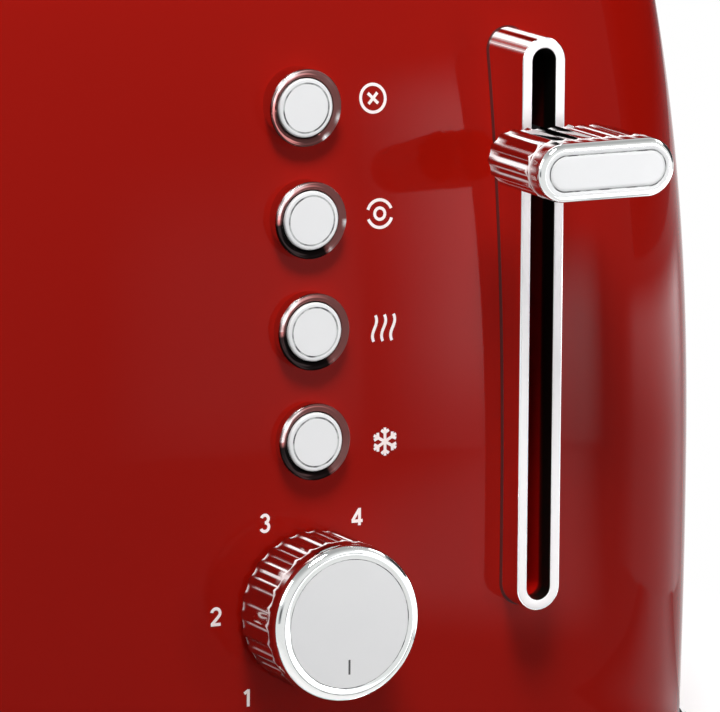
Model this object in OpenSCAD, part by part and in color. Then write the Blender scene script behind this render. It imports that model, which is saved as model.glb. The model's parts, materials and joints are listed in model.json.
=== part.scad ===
// Two-slice retro toaster with a control panel on its short end.
// X runs across the body, the control panel faces -Y, Z points up from the table.
// The origin lies on the table, under the middle of the whole object's length and width.

/* [Body] */
// Width of the body at its widest level
body_w = 203; // [194:1:224]
// Length of the body from the control end to the back
body_l = 300; // [292:1:330]
// Height of the painted shell's flat top above the table
body_top = 193; // [188:1:210]
// Height of the shell's lower edge above the table
shell_foot = 11; // [9:0.5:13]
// Height of the widest level
waist_z = 61; // [56:1:68]
// Height where the walls turn into the shoulder
shoulder_z = 161; // [152:1:168]
// How far the long flanks lean in at the shoulder
flank_lean = 5.9; // [3:0.1:8]
// How far the two ends lean in at the shoulder
end_lean = 10.3; // [6:0.1:12]
// How far the walls tuck in at the lower edge
foot_tuck = 0.5; // [0:0.1:1]
// Power of the lean curve
lean_power = 2.3; // [2:0.1:3]
// Squareness of the plan outline
plan_power = 5.8; // [5:0.1:7]
// Reach of the shoulder round across the body
shoulder_across = 32; // [26:1:36]
// Reach of the shoulder round along the body
shoulder_along = 36; // [30:1:42]
// Thickness of the shell's sheet
shell_wall = 1; // [0.8:0.1:1.6]

/* [Top frame] */
// Width of a bread slot
slot_w = 34; // [30:1:36]
// Distance from the body's end to a bread slot's end
slot_end = 74; // [72:1:80]
// Distance between the middles of the two bread slots
slot_pitch = 52; // [50:1:54]
// Corner radius of a bread slot
slot_corner = 7; // [4:0.5:10]
// Thickness of the top frame
frame_t = 2.2; // [1.6:0.1:3]
// How far the top frame stays in from the shell's shoulder
frame_margin = 1.6; // [1:0.1:3]
// Corner radius of the top frame
frame_corner = 30; // [26:1:34]
// How far the top frame laps over the shell's opening
frame_lap = 4; // [3:0.5:6]
// Wall of the collar that lines a bread slot
collar_wall = 1.3; // [1:0.1:2]
// How far the collar hangs below the shell's top
collar_drop = 12; // [8:0.5:14]
// How far the collar stands up over the top frame
collar_rise = 1.2; // [0.8:0.1:2]

/* [Base] */
// Thickness of the base plate
base_t = 3; // [2:0.5:4]
// How far the base trim flares out beyond the shell
trim_flare = 4.4; // [2:0.2:6]
// Height of the base trim's lower edge above the table
trim_low = 4; // [3:0.5:6]
// Width of the base trim's band inside the shell's outline
trim_band = 6; // [5:0.5:9]
// Radius of a foot
foot_r = 9; // [6:0.5:12]
// Distance from the body's side to the middle of a foot
foot_in_x = 33.5; // [27:0.5:40]
// Distance from the body's end to the middle of a foot
foot_in_y = 45; // [38:0.5:54]
// Radius of a base screw's shank
screw_r = 1.6; // [1.2:0.1:2]

/* [Knob] */
// Diameter of the browning knob
knob_d = 30; // [26:0.5:34]
// Depth of the browning knob
knob_h = 15.9; // [12:0.1:18]
// Height of the browning knob's axis
knob_z = 46; // [42:0.5:50]
// Number of flutes round the browning knob
knob_flutes = 27; // [20:1:34]
// Radius of a knob flute
knob_flute_r = 1.1; // [0.8:0.1:1.3]
// Diameter of the satin disc in the knob's face
knob_disc_d = 24.4; // [20:0.2:25]
// Radius of the dial shaft
shaft_r = 3; // [2.5:0.1:3.5]
// Gap between the knob's back and the panel
knob_gap = 0.7; // [0.5:0.1:1.5]

/* [Buttons] */
// Diameter of a button's cap
button_d = 11.3; // [10:0.1:12.4]
// Outer diameter of a button's bezel ring
ring_d = 15; // [14.2:0.1:16.4]
// Height of the lowest button's axis
button_low_z = 77.8; // [76:0.1:82]
// Distance from one button to the next
button_pitch = 20.8; // [19:0.1:21.5]
// How far a bezel ring stands proud of the panel at its lower edge
ring_proud = 1.2; // [0.8:0.1:2]
// How far a cap stands proud of its bezel ring
cap_proud = 1.0; // [0.5:0.1:1.6]
// How far a button can be pressed
button_travel = 1.5; // [1:0.1:1.8]
// Radius of a button's stem
stem_r = 3; // [2.5:0.1:3.4]

/* [Lever] */
// Distance of the lever slot from the middle of the panel
lever_x = 45.1; // [43:0.1:47]
// Outer width of the slot bezel
bezel_w = 9; // [8.6:0.1:10]
// Wall of the slot bezel
bezel_wall = 2.05; // [1.8:0.05:2.2]
// Room between the lever's arm at its lowest and the slot bezel's lower end
bezel_room_low = 6.1; // [4.5:0.1:8]
// Room between the lever's arm at its highest and the slot bezel's upper end
bezel_room_high = 3.7; // [3.5:0.1:6]
// How far the slot bezel's face stands out from the panel's foremost plane
bezel_out = 6.6; // [6:0.1:9]
// Width of the lever's handle
lever_w = 29.6; // [26:0.1:32]
// Height of the lever's handle
lever_h = 11; // [10:0.1:13]
// Depth of the lever's handle
lever_d = 21.2; // [16:0.1:24]
// Gap between the slot bezel and the lever's handle
lever_gap = 3.2; // [2:0.1:4]
// Height of the lever at rest
lever_z = 130.3; // [128:0.1:131]
// How far the lever can be pushed down
lever_down = 78; // [70:1:80]
// How far the lever can be lifted
lever_up = 14; // [8:0.5:14.5]
// Number of flutes round the lever's handle
lever_flutes = 24; // [18:2:28]
// Radius of a lever flute
lever_flute_r = 0.9; // [0.7:0.1:1.2]
// Thickness of the lever's arm
arm_t = 4; // [3.5:0.1:4.1]
// Height of the lever's arm
arm_h = 8; // [6:0.2:8.4]

/* [Inside] */
// Thickness of the steel sheets round the bread chamber
sheet_t = 1.2; // [0.8:0.1:1.6]
// Distance from a bread slot's end to the chamber's end plate
chamber_room = 8; // [7:0.5:10]
// Radius of a carriage guide rod
rod_r = 3; // [2.5:0.1:3.4]
// Wall of the carriage's bushings
bushing_wall = 2; // [1.5:0.1:2.4]
// Thickness of the carriage plate
carriage_t = 1.5; // [1.2:0.1:2]
// Height of the carriage plate
carriage_h = 24; // [20:1:26]
// Height of a bread lifter bar
lifter_h = 10; // [8:0.5:12]
// Thickness of a bread lifter bar
lifter_t = 2; // [1.5:0.1:2.4]
// Width of the bread rests on a lifter
rest_w = 16; // [12:0.5:17]
// Radius of the bread guides' wires
wire_r = 1; // [0.8:0.1:1.2]
// How far a bread guide closes in on the bread
guide_close = 5; // [3:0.5:5.5]
// Number of upright wires in a bread guide
guide_wires = 9; // [7:1:13]
// Thickness of a heater card
card_t = 1; // [0.8:0.1:1.4]
// Thickness of the heater ribbon
ribbon_t = 0.5; // [0.4:0.1:0.6]
// Width of the heater ribbon
ribbon_w = 1.6; // [1.2:0.1:2.4]
// Number of ribbon turns on a heater card
ribbon_turns = 8; // [6:1:10]
// Thickness of the control carrier plate
carrier_t = 3; // [2.5:0.1:4]
// Distance from the panel's foremost plane to the control carrier
carrier_back = 18; // [16:0.5:20]
// Distance from the control carrier to the circuit board
board_room = 9; // [8:0.5:10]
// Thickness of the circuit board
board_t = 1.6; // [1.2:0.1:2]
// Wire radius of the lift spring
spring_wire_r = 0.5; // [0.4:0.05:0.6]
// Coil radius of the lift spring
spring_r = 3.4; // [3:0.1:4]
// Number of curls in the lift spring
spring_curls = 12; // [9:1:14]

/* [Crumb tray] */
// Width of the crumb tray
tray_w = 114; // [100:1:118]
// Height of the crumb tray's rim
tray_h = 6; // [4:0.5:7]
// Thickness of the crumb tray's sheet
tray_t = 1; // [0.8:0.1:1.4]
// How far the tray's handle reaches past the tray on each side
handle_over = 2; // [1:0.5:4]
// Depth of the tray's handle
handle_d = 6; // [4:0.5:8]

/* [Hidden] */
$fn = 48;

// Colours of the pieces
paint_red = [0.57, 0.08, 0.06];
chrome_grey = [0.82, 0.82, 0.83];
steel_grey = [0.62, 0.63, 0.64];
plastic_black = [0.06, 0.06, 0.06];
rubber_black = [0.09, 0.09, 0.09];
mica_tan = [0.72, 0.62, 0.45];
board_green = [0.10, 0.32, 0.18];
ribbon_grey = [0.45, 0.42, 0.40];

// Clearances
fit = 0.05;   // round pieces that run or sit in each other
seat = 0.15;  // pieces let into a hole of the shell
clear = 0.4;  // pieces that pass each other
over = 1;     // how far a cutting shape runs past the face it cuts

// Fineness of the shell's skin
plan_points = 64;
wall_levels = 10;
shoulder_levels = 7;

// Planes and heights that several pieces share
panel_y = -body_l/2;
slot_l = body_l - 2*slot_end;
foot_x = body_w/2 - foot_in_x;
foot_y = body_l/2 - foot_in_y;
screw_gap = 1;
screw_head_r = 2*screw_r;
screw_y = foot_y - foot_r - screw_head_r - screw_gap;
shoulder_h = body_top - shoulder_z;
flank_slope = flank_lean*lean_power/(shoulder_z - waist_z);
end_slope = end_lean*lean_power/(shoulder_z - waist_z);
top_hx = body_w/2 - flank_lean - flank_slope*shoulder_h - shoulder_across;
top_hy = body_l/2 - end_lean - end_slope*shoulder_h - shoulder_along;
frame_hx = top_hx - frame_margin;
frame_hy = top_hy - frame_margin;
slot_x = slot_pitch/2;
base_top = shell_foot + base_t;
plate_in = slot_l/2 + chamber_room;
plate_out = plate_in + sheet_t;
plate_top = body_top - collar_drop - clear;

// Control panel pieces
knob_r = knob_d/2;
knob_back = panel_y - knob_gap;
knob_face = knob_back - knob_h;
carrier_front = panel_y + carrier_back;
carrier_rear = carrier_front + carrier_t;
board_front = carrier_rear + board_room;
board_rear = board_front + board_t;
button_r = button_d/2;
ring_r = ring_d/2;
ring_hole_r = button_r + 0.3;
cap_depth = 3.5;
collar_r = stem_r + 1;
collar_t = 0.8;
tip_r = 1.5;
switch_w = 7;
switch_d = 4.5;
sensor_r = 8;
sensor_d = 6;
board_left = -26;
board_right = 24;
board_under = 16;
board_above = 13;
board_low = knob_z - board_under;
board_post_in = 5;
board_post_r = 3;
carrier_left = -33;
carrier_over = 4;

// Lever pieces
bezel_face = panel_y - bezel_out;
bezel_low = lever_z - arm_h/2 - lever_down - bezel_room_low;
bezel_high = lever_z + arm_h/2 + lever_up + bezel_room_high;
bezel_gap_w = bezel_w - 2*bezel_wall;
lever_back = bezel_face - lever_gap;
lever_face = lever_back - lever_d;
socket_depth = 9;

// Carriage pieces
carriage_room = 9;
carriage_drop = 17.5;
carriage_y = -plate_out - carriage_room;
carriage_front = carriage_y - carriage_t;
carriage_low = lever_z - arm_h/2 - carriage_drop;
carriage_high = carriage_low + carriage_h;
bushing_r = rod_r + fit + bushing_wall;
bushing_gap = 0.5;
rod_y = carriage_front - bushing_r - bushing_gap;
rod_left_x = 6;
rod_right_x = 64;
carriage_over = 8;
carriage_left = -slot_x - carriage_over;
carriage_right = rod_right_x + carriage_over;
lifter_sink = 8;
lifter_top = carriage_high - lifter_sink;
lifter_low = lifter_top - lifter_h;
spring_room = 19;
bracket_z = carriage_high + lever_up + spring_room;
bracket_t = 2;
bracket_over = 7;
spring_x = 28;
tab_t = 1.5;
tab_half = 5;
keeper_t = 2;
keeper_w = 16;
magnet_top = carriage_low - keeper_t - lever_down - clear;

// Bread chamber pieces
guide_sink = 1.5;
guide_rise = 30;
guide_drop = 4.5;
guide_out = slot_w/2 - guide_sink;
guide_low = base_top + guide_rise;
guide_high = plate_top - guide_drop;
guide_back = guide_close*lever_up/lever_down;
card_gap = 7.5;
card_rise = 26;
card_drop = 12;
card_tab = 8;
card_tab_l = 5;
card_x = slot_x + slot_w/2 + card_gap;
card_low = base_top + card_rise;
card_high = plate_top - card_drop;
card_end = plate_in - card_tab_l;
reflector_gap = 6.5;
reflector_rise = 18;
reflector_t = 0.8;
reflector_x = card_x + reflector_gap;

// Crumb tray pieces
tray_low = base_top + clear;
rail_t = 2;
rail_in = tray_w/2 + clear;
rail_h = tray_h + 1;
leg_in = rail_in + rail_t + clear;
leg_w = 9;
plate_hx = leg_in + leg_w;
tray_gate_h = tray_h + 3;
tray_front = -plate_in + 6;
handle_gap = 0.7;
handle_y = body_l/2 + handle_gap;
handle_h = tray_gate_h + 1;
handle_w = tray_w + 2*handle_over;

// The body's middle is moved along Y, so that the whole object is centred on the origin
object_shift = -(lever_face + handle_y + handle_d)/2;

// Cord inlet
gland_bore_r = 3.6;
gland_r = 6;
gland_flange_r = 8.5;
gland_flange_t = 2;
gland_out = 4;
inlet_w = 19;
inlet_h = 21;
inlet_t = 8;
inlet_gap = 4;
inlet_proud = 0.3;
gland_x = rail_in + inlet_gap + inlet_w/2;
gland_z = base_top + inlet_h/2;

// Terminal block
block_x = 38;
block_w = 30;
block_d = 14;
block_h = 20;
block_rise = 44;
block_pitch = 9;
block_bore_r = 2.5;
block_floor = 4;

// Half sizes of the body's plan outline and its height, for a level up to the shoulder
function wall_lean(z, lean) = z > waist_z
  ? lean*pow((z - waist_z)/(shoulder_z - waist_z), lean_power)
  : foot_tuck*pow((waist_z - z)/(waist_z - shell_foot), 2);
function wall_hx(z) = body_w/2 - wall_lean(z, flank_lean);
function wall_hy(z) = body_l/2 - wall_lean(z, end_lean);
function wall_ring(z) = [wall_hx(z), wall_hy(z), z];

// The same for a level on the shoulder, where turn runs from 0 to 90 degrees
function shoulder_ring(turn) = [
  wall_hx(shoulder_z) - flank_slope*shoulder_h*sin(turn) - shoulder_across*(1 - cos(turn)),
  wall_hy(shoulder_z) - end_slope*shoulder_h*sin(turn) - shoulder_along*(1 - cos(turn)),
  shoulder_z + shoulder_h*sin(turn)];

function body_rings() = concat(
  [for (i = [0:wall_levels]) wall_ring(shell_foot + (shoulder_z - shell_foot)*i/wall_levels)],
  [for (i = [1:shoulder_levels]) shoulder_ring(90*i/shoulder_levels)]);

// The same rings moved in by the sheet's thickness
function sink(z) = z > shoulder_z ? (z - shoulder_z)/shoulder_h : 0;
function inner_rings(wall) = [for (i = [0:wall_levels + shoulder_levels])
  let (r = body_rings()[i], low = i == 0 ? over : 0)
  [r[0] - wall, r[1] - wall, r[2] - wall*sink(r[2]) - low]];

// Plan outline: a squared-off ellipse, with its points packed towards the corners
function outline(hx, hy) = [for (i = [0:plan_points - 1])
  let (t = 360*i/plan_points)
  [hx*sign(cos(t))*pow(abs(cos(t)), 2/plan_power),
   hy*sign(sin(t))*pow(abs(sin(t)), 2/plan_power)]];

// Where the panel lies at a place across and a height
function panel_at(x, z) = -wall_hy(z)*pow(1 - pow(abs(x)/wall_hx(z), plan_power), 1/plan_power);

// Puts a piece that is built about the body's middle in its place
module placed() {
  translate([0, object_shift, 0])
    children();
}

// A closed skin over rings, each given by its half sizes and its height
module skin(rings) {
  n = plan_points;
  last = len(rings) - 1;
  points = [for (r = rings) for (p = outline(r[0], r[1])) [p[0], p[1], r[2]]];
  sides = [for (k = [0:last - 1]) for (i = [0:n - 1])
    let (a = k*n + i, b = k*n + (i + 1)%n, c = b + n, d = a + n)
    for (f = [[a, d, c], [a, c, b]]) f];
  low_cap = [[for (i = [0:n - 1]) i]];
  high_cap = [[for (i = [0:n - 1]) last*n + n - 1 - i]];
  polyhedron(points, concat(sides, low_cap, high_cap), convexity = 6);
}

// A box from its lowest corner to its highest
module box(low, high) {
  translate(low)
    cube(high - low);
}

// A round bar along Y from one plane to another
module bar_y(x, z, r, from, to) {
  translate([x, from, z])
    rotate([-90, 0, 0])
      cylinder(r = r, h = to - from);
}

// A rectangle with round corners about the middle
module round_rect(hx, hy, r) {
  square([2*hx, 2*(hy - r)], center = true);
  square([2*(hx - r), 2*hy], center = true);
  for (sx = [-1, 1])
    for (sy = [-1, 1])
      translate([sx*(hx - r), sy*(hy - r)])
        circle(r = r);
}

module round_rect_prism(hx, hy, r, low, high) {
  translate([0, 0, low])
    linear_extrude(height = high - low)
      round_rect(hx, hy, r);
}

// An upright bar with round ends along Y, for the slot bezel and what passes it
module upright_slot(w, low, high, from, to) {
  bar_y(lever_x, low + w/2, w/2, from, to);
  bar_y(lever_x, high - w/2, w/2, from, to);
  box([lever_x - w/2, from, low + w/2], [lever_x + w/2, to, high - w/2]);
}

function button_z(i) = button_low_z + (4 - i)*button_pitch;
function ring_face(i) = panel_at(0, button_z(i) - ring_r) - ring_proud;
function cap_face(i) = ring_face(i) - cap_proud;

module body_shell() {
  color(paint_red)
    difference() {
      skin(body_rings());
      skin(inner_rings(shell_wall));
      round_rect_prism(frame_hx - frame_lap, frame_hy - frame_lap, frame_corner - frame_lap,
        body_top - shell_wall - over, body_top + over);
      bar_y(0, knob_z, shaft_r + 2, panel_y - over, carrier_front);
      for (i = [1:4])
        bar_y(0, button_z(i), ring_r + seat, panel_y - over, carrier_front);
      upright_slot(bezel_w + 2*seat, bezel_low - seat, bezel_high + seat, panel_y - over, carrier_front);
      box([-rail_in, body_l/2 - 12, base_top - over], [rail_in, body_l/2 + over, base_top + tray_gate_h]);
      box([gland_x - inlet_w/2 - seat, 0, shell_foot - over],
        [gland_x + inlet_w/2 + seat, body_l/2 + over, base_top + inlet_h + seat]);
    }
}

module top_frame() {
  edge = 0.8;
  color(chrome_grey)
    difference() {
      union() {
        round_rect_prism(frame_hx, frame_hy, frame_corner, body_top, body_top + frame_t - edge);
        round_rect_prism(frame_hx - edge, frame_hy - edge, frame_corner - edge,
          body_top, body_top + frame_t);
        for (side = [-1, 1])
          translate([side*slot_x, 0, 0])
            round_rect_prism(slot_w/2 + collar_wall, slot_l/2 + collar_wall, slot_corner + collar_wall,
              body_top - collar_drop, body_top + frame_t + collar_rise);
      }
      for (side = [-1, 1])
        translate([side*slot_x, 0, 0])
          round_rect_prism(slot_w/2, slot_l/2, slot_corner,
            body_top - collar_drop - over, body_top + frame_t + collar_rise + over);
    }
}

module base_trim() {
  foot_hx = wall_hx(shell_foot);
  foot_hy = wall_hy(shell_foot);
  drop = shell_foot - trim_low;
  steps = 5;
  rings = [for (k = [0:steps])
    let (s = k/steps, out = trim_flare*(1 - s*s) + 0.3)
    [foot_hx + out, foot_hy + out, trim_low + drop*s]];
  color(chrome_grey)
    difference() {
      skin(rings);
      translate([0, 0, trim_low - over])
        linear_extrude(height = drop + 2*over)
          polygon(outline(foot_hx - trim_band, foot_hy - trim_band));
      for (sx = [-1, 1])
        for (sy = [-1, 1])
          translate([sx*foot_x, sy*foot_y, trim_low - over])
            cylinder(r = foot_r + clear, h = drop - over);
    }
}

module base_plate() {
  edge = shell_wall + clear;
  vents = 5;
  color(plastic_black)
    difference() {
      union() {
        translate([0, 0, shell_foot])
          linear_extrude(height = base_t)
            polygon(outline(wall_hx(shell_foot) - edge, wall_hy(shell_foot) - edge));
        for (side = [-1, 1])
          box([side*(rail_in + rail_t/2) - rail_t/2, tray_front, base_top - over],
            [side*(rail_in + rail_t/2) + rail_t/2, plate_in - clear, base_top + rail_h]);
      }
      for (sx = [-1, 1])
        for (k = [1:vents])
          box([sx*(leg_in + 12) - 2, -plate_in + 24*k, shell_foot - over],
            [sx*(leg_in + 12) + 2, -plate_in + 24*k + 14, base_top + over]);
      screw_places()
        translate([0, 0, shell_foot - over])
          cylinder(r = screw_r + fit, h = base_t + 2*over);
      foot_places()
        translate([0, 0, shell_foot - over])
          cylinder(r = foot_r/3 + fit, h = base_t/2 + over);
    }
}

module screw_places() {
  for (sx = [-1, 1])
    for (sy = [-1, 1])
      translate([sx*foot_x, sy*screw_y, 0])
        children();
}

module foot_places() {
  for (sx = [-1, 1])
    for (sy = [-1, 1])
      translate([sx*foot_x, sy*foot_y, 0])
        children();
}

module base_screws() {
  head_t = 1.6;
  color(steel_grey)
    screw_places() {
      translate([0, 0, shell_foot - head_t])
        cylinder(r = screw_head_r, h = head_t);
      translate([0, 0, shell_foot - head_t])
        cylinder(r = screw_r, h = head_t + base_t);
    }
}

module foot(i) {
  sx = i % 2 == 1 ? -1 : 1;
  sy = i < 3 ? -1 : 1;
  color(rubber_black)
    translate([sx*foot_x, sy*foot_y, 0]) {
      rotate_extrude()
        polygon([[0, 0], [foot_r - 1.5, 0], [foot_r, 1.5], [foot_r - 0.6, shell_foot], [0, shell_foot]]);
      cylinder(r = foot_r/3, h = shell_foot + base_t/2);
    }
}

module slot_bezel() {
  color(chrome_grey)
    difference() {
      upright_slot(bezel_w, bezel_low, bezel_high, bezel_face, carrier_front);
      upright_slot(bezel_gap_w, bezel_low + bezel_wall, bezel_high - bezel_wall,
        bezel_face - over, carrier_front + over);
    }
}

module button_ring(i) {
  dish = 0.7;
  color(chrome_grey)
    translate([0, ring_face(i), button_z(i)])
      rotate([-90, 0, 0])
        rotate_extrude()
          polygon([[ring_hole_r, dish], [ring_r - 0.7, 0], [ring_r, 0.7],
            [ring_r, carrier_front - ring_face(i)], [ring_hole_r, carrier_front - ring_face(i)]]);
}

module button(i) {
  groove_r = button_r - 1.3;
  groove_w = 0.4;
  groove_d = 0.3;
  color(chrome_grey)
    difference() {
      union() {
        bar_y(0, button_z(i), button_r, cap_face(i), cap_face(i) + cap_depth);
        bar_y(0, button_z(i), stem_r, cap_face(i) + cap_depth - over, carrier_rear + clear + collar_t);
        bar_y(0, button_z(i), collar_r, carrier_rear + clear, carrier_rear + clear + collar_t);
        bar_y(0, button_z(i), tip_r, carrier_rear + clear, board_front - button_travel - 1);
      }
      difference() {
        bar_y(0, button_z(i), groove_r, cap_face(i) - over, cap_face(i) + groove_d);
        bar_y(0, button_z(i), groove_r - groove_w, cap_face(i) - 2*over, cap_face(i) + groove_d + over);
      }
    }
}

module control_carrier() {
  right = lever_x + bezel_w/2 + carrier_over;
  high = bezel_high + carrier_over;
  color(plastic_black) {
    difference() {
      box([carrier_left, carrier_front, base_top], [right, carrier_rear, high]);
      upright_slot(bezel_gap_w, bezel_low + bezel_wall, bezel_high - bezel_wall,
        carrier_front - over, carrier_rear + over);
      bar_y(0, knob_z, shaft_r + fit, carrier_front - over, carrier_rear + over);
      for (i = [1:4])
        bar_y(0, button_z(i), stem_r + fit, carrier_front - over, carrier_rear + over);
    }
    for (x = [board_left + board_post_in, board_right - board_post_in])
      for (z = [board_low + board_post_in, board_high() - board_post_in])
        bar_y(x, z, board_post_r, carrier_rear - over, board_front);
  }
}

function board_high() = button_z(1) + board_above;

module control_board() {
  color(board_green)
    box([board_left, board_front, board_low], [board_right, board_rear, board_high()]);
}

module switch_block(i) {
  color(plastic_black)
    difference() {
      box([-switch_w/2, board_front - switch_d, button_z(i) - switch_w/2],
        [switch_w/2, board_front, button_z(i) + switch_w/2]);
      bar_y(0, button_z(i), tip_r + 0.1, board_front - switch_d - over, board_front - 0.5);
    }
}

module dial_sensor() {
  color(plastic_black)
    difference() {
      bar_y(0, knob_z, sensor_r, board_front - sensor_d, board_front);
      bar_y(0, knob_z, shaft_r + fit, board_front - sensor_d - over, board_front - 1);
    }
}

module dial_shaft() {
  color(steel_grey)
    bar_y(0, knob_z, shaft_r, knob_face + 6, board_front - 1.5);
}

module knob() {
  band = 4;
  recess = 1.2;
  rim = 1.2;
  color(chrome_grey)
    difference() {
      translate([0, knob_face, knob_z])
        rotate([-90, 0, 0])
          rotate_extrude()
            polygon([[0, 0], [knob_r - rim, 0], [knob_r, rim], [knob_r, knob_h], [0, knob_h]]);
      for (k = [0:knob_flutes - 1])
        let (t = 360*k/knob_flutes)
          bar_y((knob_r + 0.3)*cos(t), knob_z + (knob_r + 0.3)*sin(t), knob_flute_r,
            knob_face + band, knob_back + over);
      bar_y(0, knob_z, knob_disc_d/2 + fit, knob_face - over, knob_face + recess);
      bar_y(0, knob_z, shaft_r + fit, knob_face + 5.5, knob_back + over);
    }
}

module knob_disc() {
  recess = 1.2;
  pointer_w = 0.5;
  pointer_l = 3;
  color(steel_grey)
    difference() {
      bar_y(0, knob_z, knob_disc_d/2, knob_face, knob_face + recess);
      box([-pointer_w/2, knob_face - over, knob_z - knob_disc_d/2 + 1.5],
        [pointer_w/2, knob_face + 0.4, knob_z - knob_disc_d/2 + 1.5 + pointer_l]);
    }
}

// A point and its outward angle on the lever's stadium outline, at a way round it
function stadium_half() = lever_w/2 - lever_h/2;
function stadium_round() = 4*stadium_half() + PI*lever_h;
function stadium_point(s, r) =
  let (flat = 2*stadium_half(), bend = PI*lever_h/2)
  s < flat ? [s - flat/2, r]
  : s < flat + bend ? let (t = 90 - 180*(s - flat)/bend) [flat/2 + r*cos(t), r*sin(t)]
  : s < 2*flat + bend ? [flat/2 - (s - flat - bend), -r]
  : let (t = 270 - 180*(s - 2*flat - bend)/bend) [-flat/2 + r*cos(t), r*sin(t)];

module stadium_bar(h, from, to) {
  for (side = [-1, 1])
    bar_y(lever_x + side*stadium_half(), lever_z, h/2, from, to);
  box([lever_x - stadium_half(), from, lever_z - h/2], [lever_x + stadium_half(), to, lever_z + h/2]);
}

module lever_handle() {
  band = 5;
  rim = 0.7;
  color(chrome_grey)
    difference() {
      union() {
        stadium_bar(lever_h, lever_face + rim, lever_back);
        stadium_bar(lever_h - 2*rim, lever_face, lever_back);
      }
      for (k = [0:lever_flutes - 1])
        let (p = stadium_point(stadium_round()*(k + 0.5)/lever_flutes, lever_h/2 + 0.25))
          bar_y(lever_x + p[0], lever_z + p[1], lever_flute_r, lever_face + band, lever_back + over);
      box([lever_x - arm_t/2 - fit, lever_back - socket_depth, lever_z - arm_h/2 - fit],
        [lever_x + arm_t/2 + fit, lever_back + over, lever_z + arm_h/2 + fit]);
    }
}

module lever_arm() {
  color(plastic_black)
    box([lever_x - arm_t/2, lever_back - socket_depth + fit, lever_z - arm_h/2],
      [lever_x + arm_t/2, carriage_front, lever_z + arm_h/2]);
}

module carriage() {
  web = 3;
  color(steel_grey)
    difference() {
      union() {
        box([carriage_left, carriage_front, carriage_low], [carriage_right, carriage_y, carriage_high]);
        for (x = [rod_left_x, rod_right_x]) {
          translate([x, rod_y, carriage_low])
            cylinder(r = bushing_r, h = carriage_h);
          box([x - web, rod_y, carriage_low], [x + web, carriage_front, carriage_high]);
        }
        box([spring_x - tab_half, rod_y - tab_half, carriage_high - tab_t],
          [spring_x + tab_half, carriage_front, carriage_high]);
      }
      for (x = [rod_left_x, rod_right_x])
        translate([x, rod_y, carriage_low - over])
          cylinder(r = rod_r + fit, h = carriage_h + 2*over);
    }
}

module keeper() {
  color(steel_grey)
    box([spring_x - keeper_w/2, rod_y - tab_half, carriage_low - keeper_t],
      [spring_x + keeper_w/2, carriage_y, carriage_low]);
}

module lifter(side) {
  rests = 5;
  rest_t = 1.5;
  rest_l = 7;
  x = side*slot_x;
  color(steel_grey) {
    box([x - lifter_t/2, carriage_y, lifter_low], [x + lifter_t/2, plate_out + 4, lifter_top]);
    for (k = [0:rests - 1])
      let (y = (slot_l - 30)*(k/(rests - 1) - 0.5))
        box([x - rest_w/2, y - rest_l/2, lifter_top - rest_t], [x + rest_w/2, y + rest_l/2, lifter_top]);
  }
}

module guide_rod(x) {
  color(steel_grey)
    translate([x, rod_y, base_top])
      cylinder(r = rod_r, h = bracket_z + bracket_t - base_top);
}

module rod_bracket() {
  color(steel_grey)
    difference() {
      box([rod_left_x - bracket_over, rod_y - bracket_over, bracket_z],
        [rod_right_x + bracket_over, -plate_out, bracket_z + bracket_t]);
      for (x = [rod_left_x, rod_right_x])
        translate([x, rod_y, bracket_z - over])
          cylinder(r = rod_r + fit, h = bracket_t + 2*over);
    }
}

// The lift spring is one tube swept along a helix, ring by ring
spring_rings = 8;
spring_sides = 6;
spring_low = carriage_high + spring_wire_r + fit;
spring_high = bracket_z - spring_wire_r - fit;
spring_step = (spring_high - spring_low)/spring_curls;
function spring_point(k) =
  let (t = 360*k/spring_rings)
  [spring_r*cos(t), spring_r*sin(t), spring_low + spring_step*k/spring_rings];
function spring_circle(k) =
  let (t = 360*k/spring_rings, c = spring_point(k))
  [for (j = [0:spring_sides - 1])
    let (u = 360*j/spring_sides)
    c + spring_wire_r*[cos(u)*cos(t), cos(u)*sin(t), sin(u)]];
spring_least_gap = spring_step - 2*spring_wire_r;

module lift_spring() {
  n = spring_sides;
  last = spring_curls*spring_rings;
  points = [for (k = [0:last]) for (p = spring_circle(k)) p];
  sides = [for (k = [0:last - 1]) for (j = [0:n - 1])
    let (a = k*n + j, b = k*n + (j + 1)%n, c = b + n, d = a + n)
    for (f = [[a, b, c], [a, c, d]]) f];
  fan_low = [for (j = [1:n - 2]) [0, j + 1, j]];
  fan_high = [for (j = [1:n - 2]) [last*n, last*n + j, last*n + j + 1]];
  echo(spring_least_gap = spring_least_gap);
  color(steel_grey)
    translate([spring_x, rod_y, 0])
      polyhedron(points, concat(sides, fan_low, fan_high), convexity = 10);
}

module latch_magnet() {
  core_r = 3;
  coil_r = 6.5;
  foot_t = 2;
  color(ribbon_grey)
    translate([spring_x, rod_y, 0]) {
      box([-keeper_w/2, -tab_half, base_top], [keeper_w/2, tab_half, base_top + foot_t]);
      translate([0, 0, base_top])
        cylinder(r = core_r, h = magnet_top - base_top);
      translate([0, 0, base_top + foot_t])
        intersection() {
          cylinder(r = coil_r, h = magnet_top - base_top - foot_t - 1);
          box([-coil_r, -tab_half, 0], [coil_r, tab_half, magnet_top]);
        }
    }
}

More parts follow.
